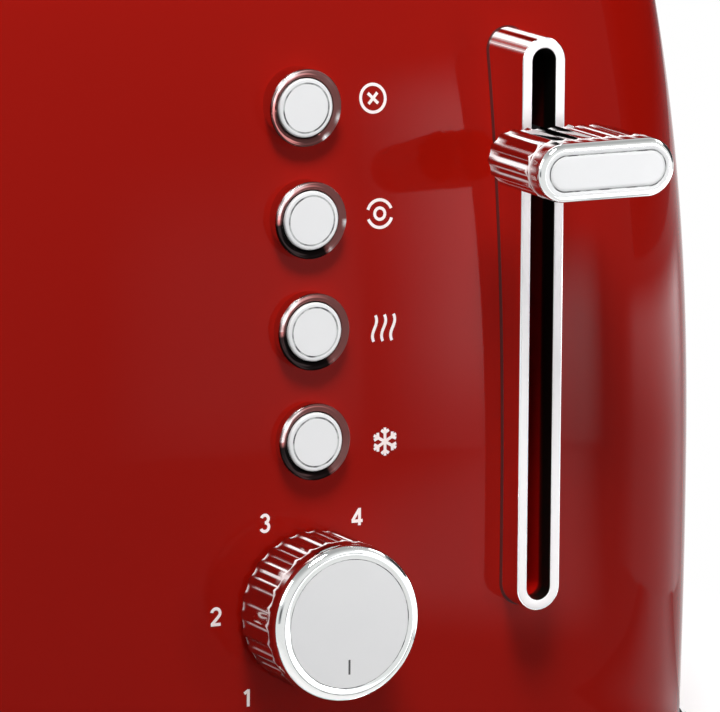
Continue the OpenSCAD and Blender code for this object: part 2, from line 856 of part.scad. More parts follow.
// One end plate of the bread chamber, with its faces at the given planes
module end_plate(from, to) {
  room = 0.5;
  color(steel_grey)
    difference() {
      box([-plate_hx, from, base_top], [plate_hx, to, plate_top]);
      box([-leg_in, from - over, base_top - over], [leg_in, to + over, base_top + tray_gate_h]);
      for (side = [-1, 1]) {
        box([side*slot_x - lifter_t/2 - room, from - over, lifter_low - lever_down - room],
          [side*slot_x + lifter_t/2 + room, to + over, lifter_top + lever_up + room]);
        for (hand = [-1, 1])
          for (z = [guide_low, guide_high])
            let (far = side*slot_x + hand*(guide_out + guide_back),
              near = side*slot_x + hand*(guide_out - guide_close))
              box([min(far, near) - wire_r - clear, from - over, z - wire_r - clear],
                [max(far, near) + wire_r + clear, to + over, z + wire_r + clear]);
      }
    }
}

module reflector(side) {
  color(steel_grey)
    box([side*reflector_x - reflector_t/2, -plate_in, base_top + reflector_rise],
      [side*reflector_x + reflector_t/2, plate_in, plate_top]);
}

// The card is cut back between its two tabs, so that the ribbon can pass round its ends
module heater_card(x) {
  color(mica_tan) {
    box([x - card_t/2, -card_end, card_low], [x + card_t/2, card_end, card_high]);
    for (z = [card_low, card_high - card_tab])
      box([x - card_t/2, -plate_in, z], [x + card_t/2, plate_in, z + card_tab]);
  }
}

// The ribbon winds round its card, level by level, as one strip
module heater_ribbon(x) {
  low = card_low + card_tab + 2;
  rise = (card_high - card_tab - 4 - ribbon_w - low)/(ribbon_turns - 1);
  out = card_t/2 + ribbon_t;
  color(ribbon_grey)
    for (k = [0:ribbon_turns - 1])
      let (z = low + rise*k, next = k < ribbon_turns - 1 ? rise : 0) {
        for (side = [-1, 1])
          box([x + side*(out - ribbon_t/2) - ribbon_t/2, -card_end - ribbon_t, z],
            [x + side*(out - ribbon_t/2) + ribbon_t/2, card_end + ribbon_t, z + ribbon_w]);
        box([x - out, card_end, z], [x + out, card_end + ribbon_t, z + ribbon_w]);
        box([x - out, -card_end - ribbon_t, z], [x + out, -card_end, z + next + ribbon_w]);
      }
}

module bread_guide(side, hand) {
  x = side*slot_x + hand*guide_out;
  reach = plate_out + 3;
  span = slot_l - 12;
  color(steel_grey) {
    for (z = [guide_low, guide_high])
      bar_y(x, z, wire_r, -reach, reach);
    for (k = [0:guide_wires - 1])
      translate([x, span*(k/(guide_wires - 1) - 0.5), guide_low])
        cylinder(r = 0.9*wire_r, h = guide_high - guide_low);
  }
}

module crumb_tray() {
  color(steel_grey)
    difference() {
      box([-tray_w/2, tray_front + clear, tray_low], [tray_w/2, handle_y, tray_low + tray_h]);
      box([-tray_w/2 + tray_t, tray_front + clear + tray_t, tray_low + tray_t],
        [tray_w/2 - tray_t, handle_y - tray_t, tray_low + tray_h + over]);
    }
}

module tray_handle() {
  edge = 2;
  color(chrome_grey)
    translate([0, 0, tray_low - clear])
      linear_extrude(height = handle_h)
        polygon([[-handle_w/2, handle_y], [handle_w/2, handle_y], [handle_w/2, handle_y + handle_d - edge],
          [handle_w/2 - edge, handle_y + handle_d], [-handle_w/2 + edge, handle_y + handle_d],
          [-handle_w/2, handle_y + handle_d - edge]]);
}

// Where the back wall lies at a place across, at the cord inlet's height
function rear_at(x) = -panel_at(x, gland_z);
function inlet_face() = rear_at(gland_x);

// The inlet plate stands on the base plate and follows the shell's curve in plan
module inlet_slab(low, thick) {
  steps = 4;
  xs = [for (k = [0:steps]) gland_x + inlet_w*(k/steps - 0.5)];
  face = [for (x = xs) [x, rear_at(x) + inlet_proud]];
  back = [for (k = [0:steps]) [xs[steps - k], rear_at(xs[steps - k]) + inlet_proud - thick]];
  translate([0, 0, low])
    linear_extrude(height = base_top + inlet_h - low)
      polygon(concat(face, back));
}

module inlet_plate() {
  color(plastic_black)
    difference() {
      union() {
        inlet_slab(base_top, inlet_t);
        inlet_slab(shell_foot, shell_wall + inlet_proud);
      }
      bar_y(gland_x, gland_z, gland_r + fit, 0, body_l/2 + over);
    }
}

module cord_gland() {
  front = rear_at(gland_x + inlet_w/2) + inlet_proud - inlet_t - fit;
  color(plastic_black)
    difference() {
      union() {
        bar_y(gland_x, gland_z, gland_r, front - over, inlet_face() + gland_out);
        bar_y(gland_x, gland_z, gland_flange_r, front - gland_flange_t, front);
      }
      bar_y(gland_x, gland_z, gland_bore_r, front - gland_flange_t - over, inlet_face() + gland_out + over);
    }
}

module terminal_block() {
  middle = block_x + block_w/2;
  color(plastic_black)
    difference() {
      box([block_x, plate_out, base_top + block_rise],
        [block_x + block_w, plate_out + block_d, base_top + block_rise + block_h]);
      for (k = [-1:1])
        bar_y(middle + k*block_pitch, base_top + block_rise + block_h/2, block_bore_r,
          plate_out + block_floor, plate_out + block_d + over);
    }
}

placed() body_shell();
placed() top_frame();
placed() base_trim();
placed() base_plate();
placed() base_screws();
for (i = [1:4]) {
  placed() foot(i);
  placed() button_ring(i);
  placed() button(i);
  placed() switch_block(i);
}
placed() slot_bezel();
placed() control_carrier();
placed() control_board();
placed() dial_sensor();
placed() dial_shaft();
placed() knob();
placed() knob_disc();
placed() lever_handle();
placed() lever_arm();
placed() carriage();
placed() keeper();
placed() lifter(-1);  // lifter_left
placed() lifter(1);  // lifter_right
placed() guide_rod(rod_left_x);  // guide_rod_left
placed() guide_rod(rod_right_x);  // guide_rod_right
placed() rod_bracket();
placed() lift_spring();
placed() latch_magnet();
placed() end_plate(-plate_out, -plate_in);  // front_plate
placed() end_plate(plate_in, plate_out);  // rear_plate
placed() reflector(-1);  // reflector_left
placed() reflector(1);  // reflector_right
placed() heater_card(-card_x);  // heater_card_left
placed() heater_card(0);  // heater_card_middle
placed() heater_card(card_x);  // heater_card_right
placed() heater_ribbon(-card_x);  // heater_ribbon_left
placed() heater_ribbon(0);  // heater_ribbon_middle
placed() heater_ribbon(card_x);  // heater_ribbon_right
placed() bread_guide(-1, -1);  // bread_guide_1
placed() bread_guide(-1, 1);  // bread_guide_2
placed() bread_guide(1, -1);  // bread_guide_3
placed() bread_guide(1, 1);  // bread_guide_4
placed() crumb_tray();
placed() tray_handle();
placed() inlet_plate();
placed() cord_gland();
placed() terminal_block();
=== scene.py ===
# %% [markdown]
# A red two-slice toaster, dressed around its CAD frame
#
# The toaster's solids already stand in their places: a painted shell, a lever, four buttons, a dial and
# the works inside. This lesson keeps them as a frame and lays finer surfaces over the ones that show.
# Every surface is worked out with numpy, so each shape can be read as a formula, and every finish is
# made from shader nodes, so no picture file is needed.

# %% Load the frame
import json
import math

import bmesh
import bpy
import numpy as np
from mathutils import Matrix, Vector, geometry

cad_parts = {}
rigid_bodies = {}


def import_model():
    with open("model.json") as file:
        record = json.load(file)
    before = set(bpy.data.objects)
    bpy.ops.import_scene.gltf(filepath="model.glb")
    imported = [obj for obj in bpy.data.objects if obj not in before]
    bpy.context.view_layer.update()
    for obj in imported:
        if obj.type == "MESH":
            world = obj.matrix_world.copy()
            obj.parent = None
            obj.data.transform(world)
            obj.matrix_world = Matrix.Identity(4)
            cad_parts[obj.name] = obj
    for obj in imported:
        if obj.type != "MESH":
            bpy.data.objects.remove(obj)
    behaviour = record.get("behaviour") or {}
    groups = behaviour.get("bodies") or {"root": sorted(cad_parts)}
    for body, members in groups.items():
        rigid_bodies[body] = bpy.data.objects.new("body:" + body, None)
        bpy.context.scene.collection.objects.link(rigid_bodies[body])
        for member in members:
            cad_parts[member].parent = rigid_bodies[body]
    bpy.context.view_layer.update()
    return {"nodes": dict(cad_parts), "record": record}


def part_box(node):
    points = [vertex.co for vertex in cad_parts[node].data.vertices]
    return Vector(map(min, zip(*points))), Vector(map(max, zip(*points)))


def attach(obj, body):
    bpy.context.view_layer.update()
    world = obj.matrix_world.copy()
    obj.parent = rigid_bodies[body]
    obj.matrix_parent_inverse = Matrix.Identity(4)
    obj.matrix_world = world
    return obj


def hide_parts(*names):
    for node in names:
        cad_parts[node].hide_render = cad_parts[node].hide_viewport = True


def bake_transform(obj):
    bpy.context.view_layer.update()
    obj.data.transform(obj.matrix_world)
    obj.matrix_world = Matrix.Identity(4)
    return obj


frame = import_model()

# %% [markdown]
# Measures
#
# The frame is in metres, while a maker thinks of a toaster in millimetres, so the shapes below are
# worked out in millimetres about the middle of the body and scaled when they become meshes. Sizes that
# the frame holds are read from its boxes; only the curves of the shell are given as numbers.

# %% Measures of the body
MM = 0.001


def node_box(node):
    """Lowest and highest corner of a CAD node, in millimetres about the body's middle."""
    low, high = (np.array(corner)/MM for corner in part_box(node))
    return low - MIDDLE, high - MIDDLE


MIDDLE = np.zeros(3)
shell_low, shell_high = node_box("body_shell")
MIDDLE = np.array([0.0, (shell_low[1] + shell_high[1])/2, 0.0])
HALF_W, HALF_L = (shell_high[0] - shell_low[0])/2, (shell_high[1] - shell_low[1])/2
FOOT_Z, TOP_Z = shell_low[2], shell_high[2]
WAIST_Z, SHOULDER_Z = 61.0, 161.0
FLANK_LEAN, END_LEAN, FOOT_TUCK = 5.9, 10.3, 0.5
LEAN_POWER, PLAN_POWER = 2.3, 5.8
SHOULDER_ACROSS, SHOULDER_ALONG = 32.0, 36.0
print("body: %.0f x %.0f mm, top at %.0f mm" % (2*HALF_W, 2*HALF_L, TOP_Z))


# %% The wall's curve
def lean(z, reach):
    """How far a wall stands in from its widest place: above the waist the share of the way to the
    shoulder, to a power, times the reach; below the waist the share of the way down, squared."""
    up = np.clip((z - WAIST_Z)/(SHOULDER_Z - WAIST_Z), 0, None)
    down = np.clip((WAIST_Z - z)/(WAIST_Z - FOOT_Z), 0, None)
    return reach*up**LEAN_POWER + FOOT_TUCK*down**2


def half_sizes(z):
    """Half width and half length of the plan outline at a height on the walls."""
    return HALF_W - lean(z, FLANK_LEAN), HALF_L - lean(z, END_LEAN)


def plan_radius(turn, half_x, half_y):
    """Distance from the middle to a squared-off ellipse, in the direction of an angle: the outline is
    where |x/half_x| to the power plus |y/half_y| to the power makes one."""
    across, along = np.abs(np.cos(turn))/half_x, np.abs(np.sin(turn))/half_y
    return (across**PLAN_POWER + along**PLAN_POWER)**(-1/PLAN_POWER)


def panel_y(x, z):
    """Where the front panel lies at a place across and a height."""
    half_x, half_y = half_sizes(z)
    return -half_y*(1 - (np.abs(x)/half_x)**PLAN_POWER)**(1/PLAN_POWER)


print("panel leans back %.1f mm at the shoulder" % (HALF_L + panel_y(0.0, SHOULDER_Z)))

# %% [markdown]
# Shader sums as Python
#
# A finish is a small web of nodes. Wiring it by hand hides the idea, so one class wraps a socket and
# lets plain arithmetic add the Math nodes. A second class holds the material and has one method that
# makes any other node from its type, its settings and what goes into its sockets.


# %% A number that changes over a surface
class Reading:
    """A node's output. Arithmetic on it adds Math nodes and gives a new Reading."""

    def __init__(self, finish, socket):
        self.finish, self.socket = finish, socket

    def sum_of(self, operation, first, second):
        """A Math node on two numbers, of which at least one is a Reading."""
        return self.finish.node("ShaderNodeMath", {"operation": operation}, {0: first, 1: second})

    def __add__(self, other):
        return self.sum_of("ADD", self, other)

    def __sub__(self, other):
        return self.sum_of("SUBTRACT", self, other)

    def __rsub__(self, other):
        return self.sum_of("SUBTRACT", other, self)

    def __mul__(self, other):
        return self.sum_of("MULTIPLY", self, other)

    __radd__, __rmul__ = __add__, __mul__

    def most(self, other):
        """The greater of two numbers."""
        return self.sum_of("MAXIMUM", self, other)


# %% A finish and its nodes
class Finish:
    """A node tree in the making. The plain sockets of its main shader are set as they are."""

    def __init__(self, name, plain=None):
        self.material = bpy.data.materials.new(name)
        self.material.use_nodes = True
        self.tree = self.material.node_tree
        self.shader = self.tree.nodes["Principled BSDF"]
        for socket, value in (plain or {}).items():
            self.feed(socket, value)

    def join(self, socket, value):
        """Links a Reading to a socket, or sets a plain value on it."""
        if isinstance(value, Reading):
            self.tree.links.new(value.socket, socket)
        else:
            socket.default_value = value

    def feed(self, socket, value):
        """Links or sets a socket of the main shader."""
        self.join(self.shader.inputs[socket], value)

    def node(self, kind, settings=None, sockets=None, out=0):
        """Makes a node, sets its settings first, then its sockets, and gives one output."""
        made = self.tree.nodes.new(kind)
        for key, value in (settings or {}).items():
            if key == "stops":
                ramp = made.color_ramp.elements
                for _ in value[2:]:
                    ramp.new(1.0)
                for stop, (place, colour) in zip(ramp, value):
                    stop.position, stop.color = place, colour
            else:
                setattr(made, key, value)
        for key, value in (sockets or {}).items():
            self.join(made.inputs[key], value)
        return Reading(self, made.outputs[out])

    def place(self, stretch=(1.0, 1.0, 1.0)):
        """Object coordinates in metres, stretched along the axes."""
        spot = self.node("ShaderNodeTexCoord", out="Object")
        return self.node("ShaderNodeMapping", None, {"Vector": spot, "Scale": stretch})

    def noise(self, spot, scale, detail=2.0):
        """Soft noise from 0 to 1, with a scale of so many patches in a metre."""
        sockets = {"Vector": spot, "Scale": scale, "Detail": detail}
        return self.node("ShaderNodeTexNoise", None, sockets, "Fac")

    def stored(self, name):
        """A number that the piece stores at each of its points."""
        return self.node("ShaderNodeAttribute", {"attribute_name": name}, None, "Fac")

    def tint(self, share, first, second):
        """One colour turning into another as a share runs from 0 to 1."""
        return self.node("ShaderNodeMix", {"data_type": "RGBA"}, {0: share, 6: first, 7: second}, 2)

    def ramp(self, share, stops):
        """A colour read from stops, each a place and a colour."""
        return self.node("ShaderNodeValToRGB", {"stops": stops}, {0: share}, "Color")

    def smooth_step(self, reading, start, stop, low=0.0, high=1.0):
        """A soft step from low to high while a reading goes from start to stop."""
        sockets = {"Value": reading, "From Min": start, "From Max": stop, "To Min": low, "To Max": high}
        return self.node("ShaderNodeMapRange", {"interpolation_type": "SMOOTHSTEP"}, sockets)

    def surface(self, light):
        """Puts another shader in the main shader's place."""
        self.join(self.tree.nodes["Material Output"].inputs["Surface"], light)

    def bump(self, height, depth):
        """Lets a height from 0 to 1 stand out by a depth in millimetres."""
        sockets = {"Strength": 1.0, "Distance": depth*MM, "Height": height}
        self.feed("Normal", self.node("ShaderNodeBump", None, sockets, "Normal"))


def linear(red, green, blue):
    """A colour as a painter names it, on a scale to 255, made linear for the shader."""
    share = np.array([red, green, blue])/255
    curve = np.where(share <= 0.04045, share/12.92, ((share + 0.055)/1.055)**2.4)
    return (*[float(c) for c in curve], 1.0)


print("red of the paint:", ["%.3f" % c for c in linear(147, 18, 10)[:3]])

# %% [markdown]
# The finishes
#
# The shell is stove enamel: a deep red film, glossy but with a faint orange peel from spraying. The
# trim is chrome, and the faces that fingers touch are satin. Each finish carries the small uneven marks
# of its making, read from Object coordinates so that they stay on the piece when it moves.

# %% Red enamel
enamel = Finish("red_enamel", {"IOR": 1.45, "Specular IOR Level": 0.053})
spot = enamel.place()
cloud = enamel.noise(spot, 11.0)
enamel.feed("Base Color", enamel.tint(cloud, linear(143, 13, 5), linear(150, 17, 8)))
enamel.feed("Roughness", 0.03 + 0.04*enamel.noise(spot, 26.0))
enamel.bump(enamel.noise(spot, 420.0, 1.0), 0.004)
print("made", enamel.material.name)


# %% Chrome and sheet metal
def metal(name, light, dark, rough, grain, mark, stretch=(1.0, 1.0, 1.0)):
    """A metal whose gloss and shade vary with smudges and with a grain stretched along one axis; mark is
    the depth of the grain in millimetres."""
    finish = Finish(name, {"Metallic": 1.0})
    smudge = finish.noise(finish.place(), 55.0, 3.0)
    lines = finish.noise(finish.place(stretch), grain)
    finish.feed("Base Color", finish.tint(smudge*0.5 + lines*0.5, dark, light))
    finish.feed("Roughness", rough*0.75 + rough*0.3*smudge + rough*0.3*lines)
    finish.bump(lines, mark)
    return finish


chrome = metal("polished_chrome", linear(230, 232, 231), linear(218, 220, 219), 0.05, 300.0, 0.0004)
sheet = metal("sheet_steel", linear(196, 197, 198), linear(160, 161, 163), 0.34, 120.0, 0.01,
              stretch=(1.0, 18.0, 1.0))
ribbon = metal("heat_tinted_ribbon", linear(150, 138, 128), linear(104, 92, 92), 0.4, 900.0, 0.01,
               stretch=(1.0, 0.2, 1.0))
print("made three metals")


# %% Satin faces
def satin_face(name, light, dark, share):
    """Bead-blasted silver: pale, with a share of bare metal and a fine even tooth."""
    finish = Finish(name, {"Metallic": share, "Specular IOR Level": 0.15})
    spot = finish.place()
    blast = finish.noise(spot, 2600.0, 1.0)
    finish.feed("Base Color", finish.tint(finish.noise(spot, 60.0), dark, light))
    finish.feed("Roughness", 0.3 + 0.1*blast)
    finish.bump(blast, 0.003)
    return finish


satin = satin_face("satin_silver", linear(233, 233, 233), linear(227, 227, 228), 0.06)
bright_rim = satin_face("lapped_rim", linear(247, 244, 244), linear(241, 238, 238), 0.1)
print("made two satin faces")


# %% Chrome with painted highlights and painted shade
def painted_light_chrome(name, deep, bare):
    """Chrome that reads a number of painted light, stored at each point of its piece: as painted shade it
    darkens to deep where the number falls below nought, and as a painted highlight it is pale and matt
    where it nears one."""
    finish = Finish(name)
    polish = finish.stored("polish")
    smudge = finish.noise(finish.place(), 160.0)
    tone = 0.46 + 0.08*smudge + 0.5*polish
    finish.feed("Base Color", finish.ramp(tone, [(0.0, deep), (0.5, bare), (1.0, linear(255, 254, 254))]))
    painted_bright = polish.most(0.0)
    finish.feed("Metallic", 1 - painted_bright)
    finish.feed("Roughness", 0.05 + 0.05*smudge + 0.3*painted_bright)
    return finish


# These carry painted light: highlight streaks on flutes and slot frame, glints on lips, and painted shade.
painted_shine = painted_light_chrome("fluted_chrome", linear(74, 62, 62), linear(206, 200, 200))
frame_chrome = painted_light_chrome("frame_chrome", linear(74, 62, 62), linear(248, 244, 244))
smoked = painted_light_chrome("smoked_chrome", linear(14, 10, 10), linear(108, 66, 64))
print("made three worn metals")

# %% The slot's liner: black, turning red where its stored number of painted light is one
liner = Finish("slot_liner", {"Specular IOR Level": 0.2})
liner.feed("Base Color", liner.tint(liner.stored("polish"), linear(12, 9, 7), linear(200, 16, 8)))
liner.feed("Roughness", 0.3 + 0.2*liner.noise(liner.place(), 500.0))
print("made", liner.material.name)


# %% Plastic, rubber and print
def mottled(name, gloss, dark, light, patch, grain, rough, tooth, mark=0.0, detail=2.0):
    """A plain stuff whose shade drifts in patches, and whose roughness rises by a tooth along a finer
    grain. A mark in millimetres makes that grain stand out."""
    finish = Finish(name, {"Specular IOR Level": gloss})
    spot = finish.place()
    fine = finish.noise(spot, grain, detail)
    finish.feed("Base Color", finish.tint(finish.noise(spot, patch, detail), dark, light))
    finish.feed("Roughness", rough + tooth*fine)
    if mark:
        finish.bump(fine, mark)
    return finish


plastic = mottled("black_plastic", 0.35, linear(17, 16, 16), linear(25, 24, 24),
                  40.0, 1500.0, 0.42, 0.14, mark=0.02)
rubber = mottled("soft_rubber", 0.25, linear(27, 27, 27), linear(48, 47, 46),
                 700.0, 700.0, 0.75, 0.2, mark=0.03, detail=4.0)
ink = mottled("pale_print", 0.3, linear(250, 232, 228), linear(254, 242, 239), 900.0, 2200.0, 0.45, 0.15)
dark_line = mottled("dark_groove", 0.3, linear(70, 70, 72), linear(98, 98, 100), 700.0, 1500.0, 0.5, 0.1)
print("made plastic, rubber and two inks")

# %% Grooves that catch the light here and there
groove = Finish("pale_groove", {"Specular IOR Level": 0.3})
spot = groove.place()
groove.feed("Base Color", groove.ramp(groove.noise(spot, 330.0),
                                      [(0.42, linear(92, 92, 94)), (0.58, linear(196, 198, 198))]))
groove.feed("Roughness", 0.5 + 0.1*groove.noise(spot, 1500.0))
print("made", groove.material.name)

# %% Mica and circuit board
mica = Finish("mica_sheet", {"Specular IOR Level": 0.4})
flake = mica.node("ShaderNodeTexVoronoi", None, {"Vector": mica.place(), "Scale": 260.0}, "Distance")
mica.feed("Base Color", mica.tint(flake, linear(202, 178, 132), linear(232, 214, 172)))
mica.feed("Roughness", 0.4 + 0.4*flake)
mica.bump(flake, 0.03)

board = Finish("lacquered_board", {"Specular IOR Level": 0.5})
spot = board.place()
board.feed("Base Color", board.node("ShaderNodeTexBrick", None, {
    "Vector": spot, "Scale": 90.0, "Color1": linear(24, 92, 50), "Color2": linear(30, 104, 58),
    "Mortar": linear(14, 66, 38), "Mortar Size": 0.05}, "Color"))
board.feed("Roughness", 0.25 + 0.2*board.noise(spot, 300.0))
print("made mica and board")

# %% [markdown]
# From arrays to pieces
#
# Most pieces are a stack of rings: a row of closed curves, each joined to the next by quads. If the
# stack is open, its two ends are closed by flat caps; if it comes back on itself, it makes a frame or a
# collar with no ends at all. One helper makes the quads and another puts points and faces in a mesh.


# %% Rings to faces
def rings_of(x, y, z):
    """Rings of points (rows x columns x 3) from places across, along and up, each stretched to one grid."""
    return np.stack(np.broadcast_arrays(x, y, z), -1)


def ring_quads(rows, columns, looped=False):
    """Quads between the rows of a ring stack, joined round each ring, and last to first row if looped."""
    row = np.arange(rows if looped else rows - 1)[:, None]
    column = np.arange(columns)[None, :]
    beside = (column + 1) % columns
    above = (row + 1) % rows
    quads = [row*columns + column, row*columns + beside, above*columns + beside, above*columns + column]
    return np.stack(np.broadcast_arrays(*quads), -1).reshape(-1, 4)


def ring_stack(rings, looped=False):
    """Points and faces of a stack of rings (rows x columns x 3). An open stack gets two flat caps."""
    rows, columns = rings.shape[:2]
    faces = ring_quads(rows, columns, looped).tolist()
    if not looped:
        faces += [list(range(columns))[::-1], list(range((rows - 1)*columns, rows*columns))]
    return rings.reshape(-1, 3), faces


print("a 3 x 4 stack has", len(ring_stack(np.zeros((3, 4, 3)))[1]), "faces")

# %% Faces to a piece
WELD, SHARP_EDGE = 0.0001*MM, math.radians(38)


def new_piece(name, points, faces, finishes, body, nodes=(), slot=None, marks=None, polish=None, closed=True):
    """Puts points in millimetres about the body's middle into a mesh and lets it ride on a CAD body, if
    one is named. marks gives each face the number of its finish, polish stores a number at each point."""
    mesh = bpy.data.meshes.new(name)
    mesh.from_pydata(((np.asarray(points) + MIDDLE)*MM).tolist(), [], faces)
    for finish in finishes:
        mesh.materials.append(finish.material)
    if marks is not None:
        mesh.polygons.foreach_set("material_index", np.asarray(marks, dtype=np.int32))
    # The stored number is painted light: above nought a painted highlight, below it painted shade.
    if polish is not None:
        stored = mesh.attributes.new("polish", "FLOAT", "POINT")
        stored.data.foreach_set("value", np.ravel(polish).astype(np.float32))
    if closed:
        work = bmesh.new()
        work.from_mesh(mesh)
        bmesh.ops.remove_doubles(work, verts=work.verts, dist=WELD)
        bmesh.ops.recalc_face_normals(work, faces=work.faces)
        work.to_mesh(mesh)
        work.free()
    mesh.shade_smooth()
    mesh.set_sharp_from_angle(angle=SHARP_EDGE)
    piece = bpy.data.objects.new(name, mesh)
    bpy.context.collection.objects.link(piece)
    if body:
        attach(piece, body)
    if nodes:
        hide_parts(*nodes)
    print("%s: %d points, %d faces" % (name, len(mesh.vertices), len(mesh.polygons)))
    return piece


def even_shading(piece):
    """Keeps flat faces flat beside small rounded edges, by weighting normals with face size."""
    even = piece.modifiers.new("even", "WEIGHTED_NORMAL")
    even.keep_sharp = True


def stack_piece(name, rings, finishes, body, nodes, slot, looped=False, **more):
    """A ring stack made into a piece with even shading."""
    even_shading(new_piece(name, *ring_stack(rings, looped), finishes, body, nodes, slot, **more))


def face_marks(rows, columns, picks, rest, caps=()):
    """Finish numbers of a ring stack's faces. picks gives rows to a finish number, the first that fits
    holds, the rest go to one more, and the two caps come last."""
    row = np.arange(rows)
    chosen = np.select([np.isin(row, picked) for _, picked in picks], [number for number, _ in picks], rest)
    return np.concatenate([np.repeat(chosen, columns), np.array(caps, int)])


print("marks of a capped stack:", face_marks(3, 4, [(1, [1])], 0, (2, 2)))

# %% [markdown]
# The painted shell
#
# On the real toaster this is one deep-drawn steel cover. A subdivided box would only come near its
# curve, and holes cut by booleans leave ripples in a gloss finish. Here the cover is one grid instead:
# columns run round the body by angle, rows climb the wall, turn over the shoulder and run in to the
# opening under the top frame. Columns stand close where the panel has holes, and the faces inside a
# hole are left out; their ragged edge lies under the rim of the ring or frame that sits in the hole.

# %% Rows and columns of the shell
GATE_HALF, GATE_LOW, GATE_HIGH, NOTCH_ROOM = 57.4, 13.0, 23.0, 0.15
inlet_low, inlet_high = node_box("inlet_plate")
NOTCH = (inlet_low[0] - NOTCH_ROOM, inlet_high[0] + NOTCH_ROOM, inlet_high[2] + NOTCH_ROOM)


def column_turns(xs, z, side):
    """Angles of the columns that cross given places on the front (side -1) or back (side 1) wall."""
    return np.arctan2(-side*panel_y(xs, z), xs)


front_x = np.concatenate([np.arange(-66, -9.6, 3.1), np.arange(-9, 9.1, 0.9), np.arange(11.5, 38, 2.9),
                          np.arange(39.2, 54, 0.62), np.arange(55.5, 67, 2.3)])
back_x = np.concatenate([[87.0, NOTCH[1], 76.0, 71.0, 66.0, NOTCH[0], GATE_HALF],
                         np.linspace(50, -50, 17), [-GATE_HALF, -66.0]])
front = column_turns(front_x, 95.0, -1)
back = column_turns(back_x, 22.0, 1)
sides = np.radians(np.concatenate([
    np.arange(-64.5, -44, 0.9), np.arange(-43, 40, 3.2), np.arange(41, 57, 1.3),
    np.arange(114.6, 140, 1.3), np.arange(141, 222, 3.2), np.arange(223, 245, 1.0)]))
turns = np.unique(np.round(np.concatenate([front, back, sides]) % (2*np.pi), 6))
walls = np.concatenate([
    [FOOT_Z, 12.0, GATE_LOW, 15.0, 17.5, 20.0, GATE_HIGH, 26.0, 29.0, 32.0, NOTCH[2], 37.5],
    np.arange(39.0, 154.6, 1.1), [156.5, SHOULDER_Z]])
print(len(turns), "columns,", len(walls), "rows on the wall")


# %% The shell's surface
def wall_ring(z):
    """Half sizes and height of the plan outline on the wall."""
    half_x, half_y = half_sizes(z)
    return np.stack([half_x, half_y, z], -1)


def shoulder_ring(turn):
    """Half sizes and height on the shoulder, a quarter of an ellipse that starts along the wall's slope."""
    rise = (TOP_Z - SHOULDER_Z)*np.sin(turn)
    slope = LEAN_POWER/(SHOULDER_Z - WAIST_Z)
    half_x = HALF_W - FLANK_LEAN*(1 + slope*rise) - SHOULDER_ACROSS*(1 - np.cos(turn))
    half_y = HALF_L - END_LEAN*(1 + slope*rise) - SHOULDER_ALONG*(1 - np.cos(turn))
    return np.stack([half_x, half_y, SHOULDER_Z + rise], -1)


def round_rect_radius(turn, half_x, half_y, corner):
    """Distance from the middle to a rectangle with round corners, in the direction of an angle: the
    nearer of its straight sides, or the far crossing with the corner's circle beyond them."""
    cosine, sine = np.abs(np.cos(turn)), np.abs(np.sin(turn))
    flat = np.minimum(half_x/np.maximum(cosine, 1e-9), half_y/np.maximum(sine, 1e-9))
    mid_x, mid_y = half_x - corner, half_y - corner
    along = mid_x*cosine + mid_y*sine
    arc = along + np.sqrt(np.maximum(along**2 - mid_x**2 - mid_y**2 + corner**2, 0))
    bent = (flat*cosine > mid_x) & (flat*sine > mid_y)
    return np.where(bent, arc, flat)


frame_low, frame_high = node_box("top_frame")
FRAME_X, FRAME_Y, FRAME_CORNER, FRAME_LAP = frame_high[0], frame_high[1], 30.0, 4.0
levels = np.concatenate([wall_ring(walls), shoulder_ring(np.radians(np.arange(6, 91, 6)))])
radius = plan_radius(turns[None, :], levels[:, 0, None], levels[:, 1, None])
opening = round_rect_radius(turns, FRAME_X - FRAME_LAP, FRAME_Y - FRAME_LAP, FRAME_CORNER - FRAME_LAP)
radius = np.concatenate([radius, (radius[-1:] + opening[None])/2, opening[None]])
height = np.concatenate([levels[:, 2], [TOP_Z, TOP_Z]])
shell_points = rings_of(radius*np.cos(turns), radius*np.sin(turns), height[:, None])
print("shell grid", shell_points.shape)

# %% Holes in the shell
BUTTON_Z = [sum(node_box("button_%d" % i))[2]/2 for i in range(1, 5)]
KNOB_Z = sum(node_box("knob"))[2]/2
KNOB_HOLE, BUTTON_HOLE, BEZEL_LAP = 4.6, 7.15, 0.2
bezel_low, bezel_high = node_box("slot_bezel")
LEVER_X, BEZEL_HALF = (bezel_low[0] + bezel_high[0])/2, (bezel_high[0] - bezel_low[0])/2
corner_points = shell_points.reshape(-1, 3)[ring_quads(*shell_points.shape[:2])]
px, py, pz = np.moveaxis(corner_points, -1, 0)
core_z = np.clip(pz, bezel_low[2] + BEZEL_HALF, bezel_high[2] - BEZEL_HALF)
in_hole = np.hypot(px, pz - KNOB_Z) < KNOB_HOLE
in_hole |= np.hypot(px - LEVER_X, pz - core_z) < BEZEL_HALF - BEZEL_LAP
for z in BUTTON_Z:
    in_hole |= np.hypot(px, pz - z) < BUTTON_HOLE
gone = np.all(in_hole & (py < 0), axis=1)
mx, my, mz = corner_points.mean(1).T
gone |= (my > 0) & (np.abs(mx) < GATE_HALF) & (mz > GATE_LOW) & (mz < GATE_HIGH)
gone |= (my > 0) & (mx > NOTCH[0]) & (mx < NOTCH[1]) & (mz < NOTCH[2])
shell_faces = ring_quads(*shell_points.shape[:2])[~gone].tolist()
print(int(gone.sum()), "faces left out")

